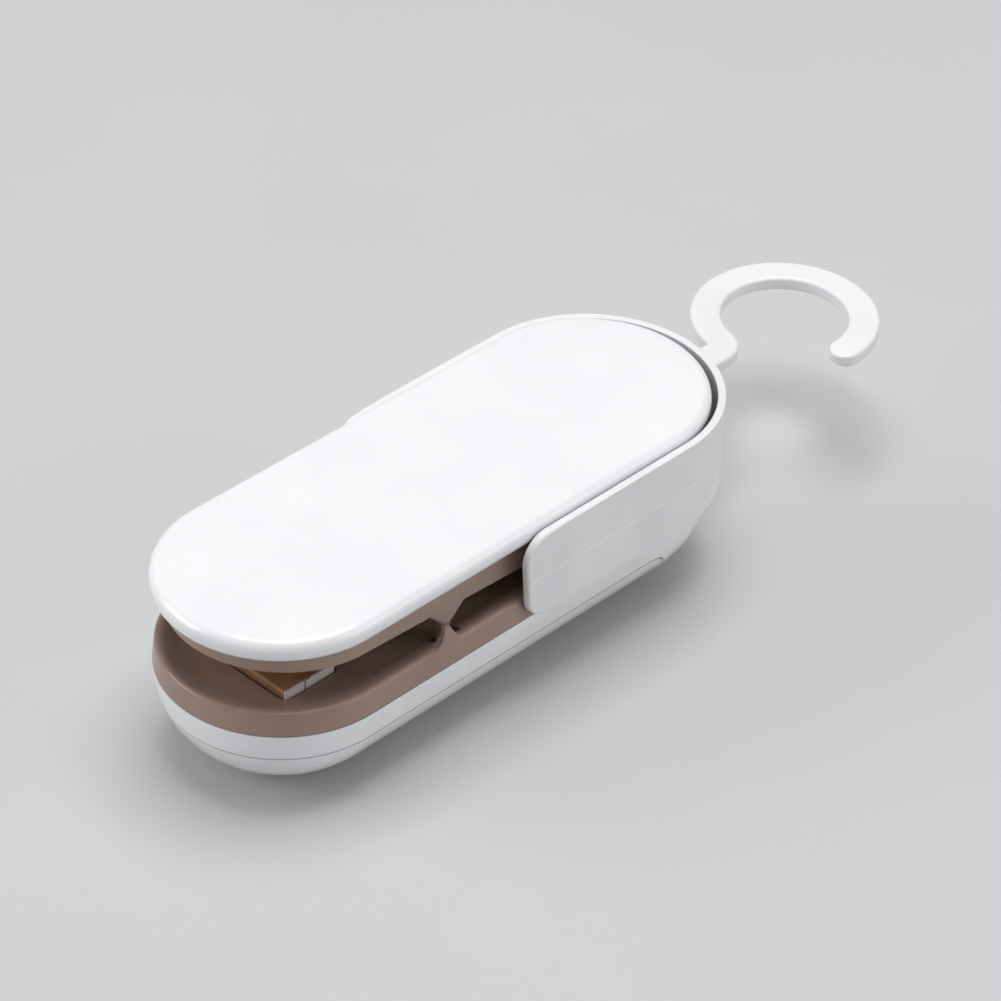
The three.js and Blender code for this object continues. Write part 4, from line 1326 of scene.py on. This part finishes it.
    def _tip(self) -> None:
        """Extrude the end of the bar to a half-round tip that thins a little."""
        half = self.hook_width / 2
        width, reach = half, 0.0
        for i in range(1, self.tip_steps + 1):
            angle = math.pi / 2 * min(i / self.tip_steps, self.tip_last_share)
            new_reach, new_width = half * math.sin(angle), half * math.cos(angle)
            move = {"value": (0, reach - new_reach, 0)}
            bpy.ops.mesh.extrude_region_move(TRANSFORM_OT_translate=move)
            shrink = (new_width / width, 1, 1 - self.tip_taper_share * i)
            bpy.ops.transform.resize(value=shrink, center_override=(self.hook_radius, -new_reach, 0))
            width, reach = new_width, new_reach


@dataclass
class BatteryBay:
    """The two cells, their contacts and their springs; the profile rings are in millimetres."""

    palette: Palette
    axis_height: float = 10.8 * MM
    offset: float = 7.45 * MM
    left_end: float = 32.3 * MM
    right_end: float = -15.9 * MM
    band_from: float = 36 * MM
    film_colour: Colour = (0.035, 0.04, 0.048)
    band_colour: Colour = (0.5, 0.24, 0.08)
    can_rings: Rings = (
        (6.2, 0.25), (6.7, 0.12), (7.0, 0.4), (7.0, 49.0), (6.6, 49.25), (4.6, 49.25), (4.4, 49.15),
        (3.2, 49.15), (3.0, 49.25), (2.6, 49.45), (2.6, 50.2), (2.3, 50.48), (1.0, 50.5),
    )
    sleeve_rings: Rings = (
        (5.9, 0.02), (6.5, 0.0), (6.95, 0.12), (7.2, 0.45), (7.25, 0.8), (7.25, 48.6), (7.2, 48.95),
        (6.95, 49.28), (6.5, 49.4), (5.5, 49.4), (5.5, 49.3), (6.7, 49.3), (7.05, 48.9), (7.05, 0.5),
        (6.7, 0.1), (5.9, 0.08),
    )
    rear_spring_at: float = 34.7 * MM
    front_spring_at: float = -18.3 * MM
    spring_length: float = 2.3 * MM
    spring_base: float = 4 * MM
    spring_tip: float = 2.5 * MM
    spring_wire: float = 0.5 * MM
    spring_turns: float = 2.5
    spring_dead: float = 0.3

    def build(self) -> None:
        """Build and dress the cells and contacts."""
        self._cell("left", -self.offset, self.left_end, -1)
        self._cell("right", self.offset, self.right_end, 1)
        colours = self.palette
        for node in ("contact_strip_left", "contact_strip_right", "bridge_plate"):
            Refined(node, bevel=0.1 * MM).dressed(f"{node}_plate", colours.nickel, Body.BASE)
        for label, x, y, way in (
            ("rear", self.rear_spring_at, -self.offset, -1),
            ("front", self.front_spring_at, self.offset, 1),
        ):
            spring = Coil(
                f"cell_coil_{label}", (x, y, self.axis_height), (way, 0, 0), self.spring_length,
                self.spring_base, self.spring_tip, self.spring_wire, self.spring_turns, self.spring_dead,
            ).build()
            Bench.dress(spring, colours.steel, Body.BASE, f"cell_spring_{label}")

    def _cell(self, label: str, y: float, end: float, sign: int) -> None:
        """Turn one cell: a steel can with its nub and a shrunk sleeve round it.

        Args:
            label: left or right.
            y: place of the cell's axis.
            end: X of its flat end.
            sign: direction from the flat end to the nub.
        """
        turned = Plan(0.0, 0.0)
        can_rings = [(radius * MM, height * MM) for radius, height in self.can_rings]
        sleeve_rings = [(radius * MM, height * MM) for radius, height in self.sleeve_rings]
        can = Loft(f"cell_{label}_can", turned, can_rings, 64).closed()
        sleeve = Loft(f"cell_{label}_sleeve", turned, sleeve_rings, 64).looped()
        for piece in (can, sleeve):
            Bench.place(piece, (end, y, self.axis_height), (0, sign * math.pi / 2, 0))
            Bench.smooth(piece, degrees=30.0)
        band_from = end + sign * self.band_from
        film = PrintedSleeve(f"cell sleeve {label}", self.film_colour, self.band_colour, band_from, sign)
        Bench.dress(can, self.palette.steel, Body.BASE)
        Bench.dress(sleeve, Finish.of(Slot.CELL_SLEEVE, film), Body.BASE, f"cell_{label}")


@dataclass
class Fasteners:
    """The seven pan head screws."""

    palette: Palette
    base_nodes: Sequence[str] = (
        "deck_screw_left", "deck_screw_right", "tray_screw_left", "tray_screw_right", "tray_screw_front"
    )
    lever_nodes: Sequence[str] = ("lever_screw_front", "lever_screw_rear")
    edge: float = 0.08 * MM

    def build(self) -> None:
        """Refine and dress every screw."""
        for nodes, body in ((self.base_nodes, Body.BASE), (self.lever_nodes, Body.LEVER)):
            for node in nodes:
                screw = Refined(node, bevel=self.edge, degrees=40)
                screw.dressed(f"{node}_pan_head", self.palette.steel, body)


# Studio


@dataclass(frozen=True)
class Lamp:
    """A soft rectangular lamp that looks at a point."""

    name: str
    place: Place
    target: Place
    size: tuple[float, float]
    power: float
    colour: Colour = (1.0, 1.0, 1.0)

    def build(self) -> None:
        """Add the lamp."""
        light = bpy.data.lights.new(self.name, "AREA")
        light.shape = "RECTANGLE"
        light.size, light.size_y = self.size
        light.energy = self.power
        light.color = self.colour
        lamp = bpy.data.objects.new(self.name, light)
        lamp.location = self.place
        aim = Vector(self.target) - Vector(self.place)
        lamp.rotation_euler = aim.to_track_quat("-Z", "Y").to_euler()
        bpy.context.scene.collection.objects.link(lamp)


@dataclass
class Studio:
    """Pale floor, soft lamps and the camera at the photograph's viewing angle."""

    lens: float = 149.57
    place: Place = (-0.353245, -0.348222, 0.399717)
    azimuth: float = -46.455
    elevation: float = 36.903
    roll: float = 1.654
    floor_size: float = 12.0
    floor_dark: Colour = (0.54, 0.54, 0.545)
    floor_light: Colour = (0.57, 0.57, 0.575)
    sky: Colour = (0.9, 0.92, 0.95)
    sky_strength: float = 0.36
    lamps: tuple[Lamp, ...] = (
        Lamp("key", (0.1, 0.0, 0.95), (0.0, 0.0, 0.02), (0.6, 0.6), 6.6),
        Lamp("left fill", (-0.65, 0.6, 0.4), (0.0, 0.0, 0.02), (0.6, 0.5), 3.6),
        Lamp("right fill", (0.45, -0.85, 0.35), (0.0, 0.0, 0.02), (0.7, 0.5), 1.9),
    )

    def build(self) -> None:
        """Set up floor, world, lamps, view and camera."""
        self._floor()
        self._world()
        for lamp in self.lamps:
            lamp.build()
        bpy.context.scene.view_settings.view_transform = "Standard"
        self._camera()

    def _floor(self) -> None:
        """Add a wide pale floor with faint mottle."""
        Bench.rest()
        bpy.ops.mesh.primitive_plane_add(size=self.floor_size, location=(0, 0, 0))
        floor = Bench.added("studio_floor")
        board = Board("pale floor")
        mottle = board.noise(60 * MM, 4.0)
        board.surface(
            Base_Color=board.mix(mottle, self.floor_dark, self.floor_light),
            Roughness=0.55 + 0.1 * mottle,
        )
        floor.data.materials.append(board.material)

    def _world(self) -> None:
        """Light the surroundings evenly."""
        world = bpy.data.worlds.new("studio")
        world.use_nodes = True
        background = world.node_tree.nodes["Background"]
        background.inputs["Color"].default_value = (*self.sky, 1.0)
        background.inputs["Strength"].default_value = self.sky_strength
        bpy.context.scene.world = world

    def _camera(self) -> None:
        """Place the camera from its azimuth, elevation and roll."""
        turn, lift, roll = (math.radians(a) for a in (self.azimuth, self.elevation, self.roll))
        level = Vector((math.sin(turn), -math.cos(turn), 0))
        back = level * math.cos(lift) + Vector((0, 0, math.sin(lift)))
        right = Vector((0, 0, 1)).cross(back).normalized()
        up = back.cross(right)
        rolled_right = right * math.cos(roll) + up * math.sin(roll)
        rolled_up = up * math.cos(roll) - right * math.sin(roll)
        data = bpy.data.cameras.new("photo camera")
        data.lens = self.lens
        data.sensor_width = 36.0
        data.clip_start = 0.01
        camera = bpy.data.objects.new("photo camera", data)
        camera.matrix_world = Matrix.Translation(self.place) @ Matrix(
            (rolled_right, rolled_up, back)
        ).transposed().to_4x4()
        bpy.context.scene.collection.objects.link(camera)
        bpy.context.scene.camera = camera


def main() -> None:
    """Build every sub-assembly in order."""
    logging.basicConfig(level=logging.INFO, format="%(name)s: %(message)s")
    Studio().build()
    palette = Palette()
    for assembly in (BaseHousing, HeatingUnit, PressLever, LockStrap, BatteryBay, Fasteners):
        assembly(palette).build()
        LOG.info("%s done", assembly.__name__)


if __name__ == "__main__":
    main()
